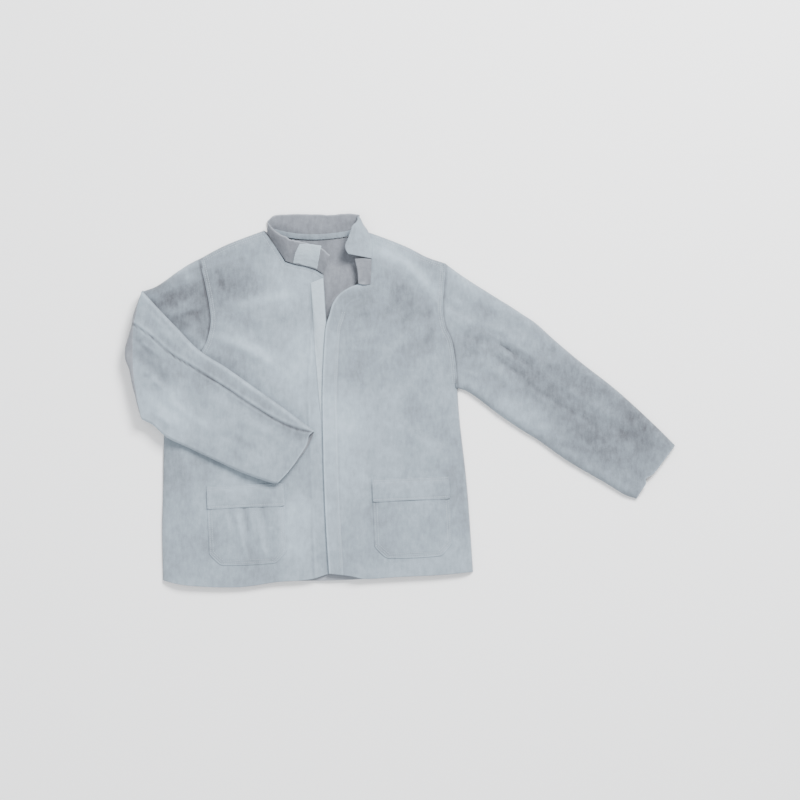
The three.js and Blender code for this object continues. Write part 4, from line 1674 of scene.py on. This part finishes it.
    def forearm(self) -> None:
        """Makes the right forearm, which lies turned over so that its seam shows."""
        form = Tubing(FOREARM_LOW, FOREARM_TOP, PATTERN.crease, RIGHT_CUFF, self.forearm_floor, self.forearm_crown,
                      lip=3.4, upper_roll=8.0, columns=70, far_under=RIGHT_CUFF_UNDER)
        u = np.r_[np.linspace(0, 0.975, 92), 0.982, 0.988, 0.993, 0.997, 1.0]
        piece = tube(form.skin(u), LEATHER).piece("right_forearm", self.wear.leather, Slot.LEATHER, self.forearm_tone)
        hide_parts("right_lower_sleeve_under", "right_lower_sleeve_top", "right_lower_sleeve_back_strip")
        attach(piece, "right_lower_sleeve")

    def elbow(self) -> None:
        """Makes the leather that rolls round the elbow: half ovals across the crease that come to a soft point."""
        turn = np.linspace(-math.pi / 2, math.pi / 2, 30)
        share = np.r_[0.0, 0.012, 0.03, np.linspace(0.055, 0.945, 66), 0.97, 0.988, 1.0]
        spine = PATTERN.crease.at(share)
        pinch = np.sqrt(np.clip(1 - (2 * share - 1) ** 4, 0.0, 1)) * 0.93 + 0.07
        crown = self.forearm_crown(spine[:, 0] + 6, spine[:, 1])
        middle, half = crown / 2 + 0.4, (crown / 2 - 0.4)
        middle = middle + 2.0 * (1 - pinch)
        half = half * (0.45 + 0.55 * pinch)
        ripple = Cockle(34, 1.1, SEED + 50).lift(spine[:, 1] * 0, spine[:, 1])
        bulge = (5.0 + 12.0 * bell(spine[:, 1] - 73, 34) + 0.5 * ripple) * pinch
        x = spine[:, :1] + 2.5 - bulge[:, None] * np.cos(turn) ** 0.8
        z = middle[:, None] + half[:, None] * np.sign(turn) * np.abs(np.sin(turn)) ** 0.45
        outer = np.stack([x, np.broadcast_to(spine[:, 1:2], x.shape), z], axis=-1)
        made = sheet(outer[:, ::-1], LEATHER)
        # painted light: the roll is painted lighter than the forearm, against the shade of its curve
        piece = made.piece("right_elbow_roll", self.wear.leather, Slot.LEATHER,
                           lambda x, y: self.forearm_tone(x, y) + 0.15)
        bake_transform(piece)


# ---------------------------------------------------------------- collar


@dataclass
class Collar(Piece):
    """Band collar: its back stands behind the neck, its halves turn inwards over the fronts, a tab closes it."""

    gap: float = 1.8
    shade: float = -0.08

    def surface(self, foot: Sequence, free: Sequence, count: int, rows: int, ripple: float, seed: int,
                arch: float) -> Array:
        """Grid between the neckline and the free edge, arched up between them and rippled along the edge.

        Args:
            foot: anchors along the neckline, in space.
            free: anchors along the free edge.
            count: columns.
            rows: rows.
            ripple: waviness of the free edge.
            seed: seed of the waviness.
            arch: extra height halfway.

        Returns:
            Rows by columns by three.
        """
        low, high = Line.of(foot), Line.of(free)
        s = shares(low.length, low.length / count)
        t = shares(float(np.linalg.norm(low.at(0.5) - high.at(0.5))), 60.0 / rows)[:, None]
        a, b = low.at(s), high.at(s)
        wave = Cockle(19, ripple, seed).lift(b[:, 0], b[:, 1]) + Cockle(6, 0.35 * ripple, seed + 2).lift(b[:, 0], b[:, 1])
        out = (b - a)[:, :2]
        out /= np.maximum(np.linalg.norm(out, axis=1)[:, None], 1e-6)
        b = b + np.concatenate([out * wave[:, None], 0.5 * wave[:, None]], axis=1)
        grid = a[None] * (1 - t[..., None]) + b[None] * t[..., None]
        grid[..., 2] += arch * np.sin(math.pi * t) + Cockle(30, 0.5, seed + 1).lift(grid[..., 0], grid[..., 1]) * np.sin(
            math.pi * t)
        return grid

    def pair(self, name: str, grid: Array, nodes: Sequence[str], inner_up: bool) -> tuple:
        """Makes outer leather and lining of one part.

        Args:
            name: name of the part.
            grid: upper face.
            nodes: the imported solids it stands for, upper one first.
            inner_up: whether the upper leather shows its inside.

        Returns:
            The upper and the lower piece.
        """
        edge = Line.of(grid[-1, ::3])
        # painted highlight along the free edge of the upper leather
        upper = self.leather(f"{name}_upper", grid, turned=inner_up,
                             tone=lambda x, y: self.shade + 0.75 * bell(edge.away(x, y), 1.8))
        lower = self.leather(f"{name}_lower", grid - self.gap * normals(grid), turned=True)
        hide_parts(nodes[0])
        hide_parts(nodes[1])
        return upper, lower

    def build(self) -> None:
        """Makes back, halves, front end and tab."""
        self.back()
        self.right()
        self.end()
        self.left()
        self.tab()

    def back(self) -> None:
        """Makes the back of the collar, its inside seen, with the tape that covers the neck seam."""
        foot = [(-94, 328, 3.6), (-50, 317, 3.6), (0, 313, 3.6), (50, 317, 3.6), (93, 325, 3.6)]
        free = [(-97, 350, 6.0), (-84, 361, 7.0), (-50, 364, 7.0), (0, 364, 6.4), (40, 363, 6.6), (70, 365.5, 9.0),
                (96, 363, 11.0)]
        grid = self.surface(foot, free, 60, 14, 0.35, SEED + 60, 2.4)
        upper, lower = self.pair("collar_back", grid, ("collar_back_lining", "collar_back_outer"), True)
        low = Line.of([(-92, 325), (-50, 315), (0, 311.3), (50, 315), (84, 321.5)])
        plan = panel((low, low.moved(0, 11), Line.of([low.points[0], low.points[0] + [0, 11]]),
                      Line.of([low.points[-1], low.points[-1] + [0, 11]])), 3.0)
        across = np.linspace(0, 1, plan.shape[0])[:, None]
        lift = np.interp(plan[..., 1], [312, 340], [4.9, 7.6]) + 0.6 * np.sin(math.pi * across)
        tape = self.leather("neck_tape", np.concatenate([plan, lift[..., None]], axis=-1), TAPE,
                            tone=lambda x, y: -0.12 + 0 * x)
        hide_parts("back_neck_tape")
        for piece in (upper, lower, tape):
            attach(piece, "jacket_body")

    def right(self) -> None:
        """Makes the part of the right half that stays on the neckline."""
        foot = [(-98, 323, 6.5), (-88, 309, 11), (-77.5, 294.5, 15), (-58.5, 266.5, 18.6)]
        free = [(-96, 345, 21), (-84, 331, 30), (-63, 316, 36), (-40, 307.6, 38)]
        grid = self.surface(foot, free, 26, 12, 0.9, SEED + 64, 3.0)
        pieces = self.pair("collar_right", grid, ("collar_right_outer", "collar_right_lining"), True)
        for piece in pieces:
            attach(piece, "jacket_body")

    def end(self) -> None:
        """Makes the front end of the right half, with the patch of loop tape on it."""
        foot = [(-59, 266.2, 18.6), (-39, 259.5, 18.4), (-14.5, 254, 18.4), (6, 247.5, 18.2), (21, 239, 18.0)]
        free = [(-41, 307.8, 38), (-22, 303, 38.5), (-3, 298, 38.5), (18, 290, 37), (34, 278, 34)]
        grid = self.surface(foot, free, 34, 14, 0.9, SEED + 68, 3.0)
        upper, lower = self.pair("collar_end", grid, ("collar_right_end_outer", "collar_right_end_lining"), True)
        low, high = Line.of([(-42, 262), (-12, 255.5), (7, 249)]), Line.of([(-28, 300), (-5, 300), (16, 296)])
        sides = (Line.of([(-42, 262), (-38, 280), (-28, 300)]), Line.of([(7, 249), (11.5, 272), (16, 296)]))
        plan = panel((low, high, *sides), 2.6)
        plan = plan + Cockle(13, 0.5, SEED + 70).lift(plan[..., 0], plan[..., 1])[..., None] * 0.8
        flat = grid.reshape(-1, 3)
        near = ((plan[..., None, :] - flat[:, :2]) ** 2).sum(-1)
        weight = 1 / (near + 4.0) ** 3
        height = (weight * flat[:, 2]).sum(-1) / weight.sum(-1) + 0.3 + TAPE
        patch = self.tape("collar_patch", np.concatenate([plan, height[..., None]], axis=-1), thickness=1.2)
        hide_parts("collar_loop_patch")
        for piece in (upper, lower):
            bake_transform(piece)
        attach(patch, "right_collar_end")

    def left(self) -> None:
        """Makes the left half, which goes with the left front."""
        foot = [(101, 342, 11), (113, 325, 13), (120, 300, 16), (121, 271, 18.2)]
        free = [(93, 362, 15), (89, 348, 25), (81.5, 335, 31), (75, 320, 34), (69, 306, 36), (67, 291, 36),
                (73, 281, 34)]
        grid = self.surface(foot, free, 34, 16, 1.0, SEED + 72, 3.2)
        pieces = self.pair("collar_left", grid, ("collar_left_outer", "collar_left_lining"), False)
        for piece in pieces:
            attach(piece, "left_front")

    def tab(self) -> None:
        """Makes the tab that hangs from the left half, and the hook patch under it."""
        low, high = Line.of([(94, 219), (107, 216.5), (119, 217.5)]), Line.of([(87, 270), (104, 270.6), (121, 269)])
        sides = (Line.of([(94, 219), (92.5, 245), (87, 270)]), Line.of([(119, 217.5), (120.5, 245), (121, 269)]))
        plan = panel((low, high, *sides), 2.6)
        lift = 26.4 + Cockle(34, 0.7, SEED + 76).lift(plan[..., 0], plan[..., 1]) - 1.6 * ease((238 - plan[..., 1]) / 20)
        tab = self.leather("tab", np.concatenate([plan, lift[..., None]], axis=-1), turned=True)
        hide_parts("collar_tab_leather")
        low, high = Line.of([(97, 224), (116, 223)]), Line.of([(89, 269), (117, 268)])
        sides = (Line.of([(97, 224), (95, 246), (89, 269)]), Line.of([(116, 223), (117, 268)]))
        plan = panel((low, high, *sides), 3.0)
        lift = 24.4 + 0 * plan[..., 0]
        hooks = self.tape("tab_hooks", np.concatenate([plan, lift[..., None]], axis=-1), hooks=True)
        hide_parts("collar_tab_hook_patch")
        for piece in (tab, hooks):
            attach(piece, "collar_tab")


# ---------------------------------------------------------------- studio


@dataclass(frozen=True)
class Studio:
    """Camera straight above, white ground, wide soft light."""

    centre: tuple[float, float] = (181.0, -25.0)
    width: float = 1680.0
    distance: float = 6.0
    lens: float = 128.6

    def build(self) -> None:
        """Sets up camera, ground and light."""
        x, y = (c * MM for c in self.centre)
        camera = bpy.data.cameras.new("camera")
        camera.lens = self.lens
        camera.sensor_width = 36.0
        camera.clip_end = 50.0
        eye = bpy.data.objects.new("camera", camera)
        eye.location = (x, y, self.distance)
        bpy.context.scene.collection.objects.link(eye)
        bpy.context.scene.camera = eye
        self.ground(x, y)
        self.lamp("key", (x + 1.4, y + 2.6, 3.2), 1.6, 430.0)
        self.lamp("fill", (x - 1.8, y - 1.6, 3.2), 3.4, 70.0)
        world = bpy.data.worlds.new("world")
        world.use_nodes = True
        world.node_tree.nodes["Background"].inputs["Color"].default_value = (0.95, 0.97, 1.0, 1)
        world.node_tree.nodes["Background"].inputs["Strength"].default_value = 0.95
        bpy.context.scene.world = world

    def ground(self, x: float, y: float) -> None:
        """Makes the plain pale floor."""
        mesh = bpy.data.meshes.new("ground")
        side = 14.0
        corners = [(x + i * side, y + j * side, -0.0004) for i, j in ((-1, -1), (1, -1), (1, 1), (-1, 1))]
        mesh.from_pydata(corners, [], [(0, 1, 2, 3)])
        n = Nodes("plain_white")
        n.shader.inputs["Base Color"].default_value = (0.97, 0.97, 0.97, 1)
        n.shader.inputs["Roughness"].default_value = 0.9
        mesh.materials.append(n.material)
        ground = bpy.data.objects.new("ground", mesh)
        bpy.context.scene.collection.objects.link(ground)

    def lamp(self, name: str, place: tuple[float, float, float], size: float, power: float) -> None:
        """Makes a square soft light that looks at the jacket."""
        light = bpy.data.lights.new(name, "AREA")
        light.size = size
        light.energy = power
        lamp = bpy.data.objects.new(name, light)
        lamp.location = place
        aim = np.array([self.centre[0] * MM, self.centre[1] * MM, 0.0]) - np.array(place)
        lamp.rotation_euler = (0.0, math.acos(-aim[2] / np.linalg.norm(aim)), math.atan2(aim[1], aim[0]) + math.pi)
        bpy.context.scene.collection.objects.link(lamp)


def main() -> None:
    """Builds every sub-assembly in order."""
    logging.basicConfig(level=logging.INFO, format="%(name)s: %(message)s")
    wear = Wardrobe()
    Back(wear).build()
    RightFront(wear).build()
    LeftFront(wear).build()
    wrinkles = (Fold((-163, -240), (-136, -366), 3.0, 5, -2), Fold((-124, -240), (-94, -372), 2.8, 5.5, -2),
                Fold((-147, -236), (-134, -318), -3.0, 3.6), Fold((-135, -242), (-119, -324), 2.0, 3.8),
                Fold((-110, -236), (-97, -305), -1.8, 4.2), Fold((-152, -300), (-122, -374), -1.6, 5.5),
                Fold((-183, -250), (-172, -330), 1.6, 5.5))
    Pocket(wear, wrinkles=wrinkles).build()
    Pocket(wear, "left", (203.0, -187.0), LAY.left, "left_front").build()
    Sleeves(wear).build()
    Collar(wear).build()
    Studio().build()


if __name__ == "__main__":
    main()
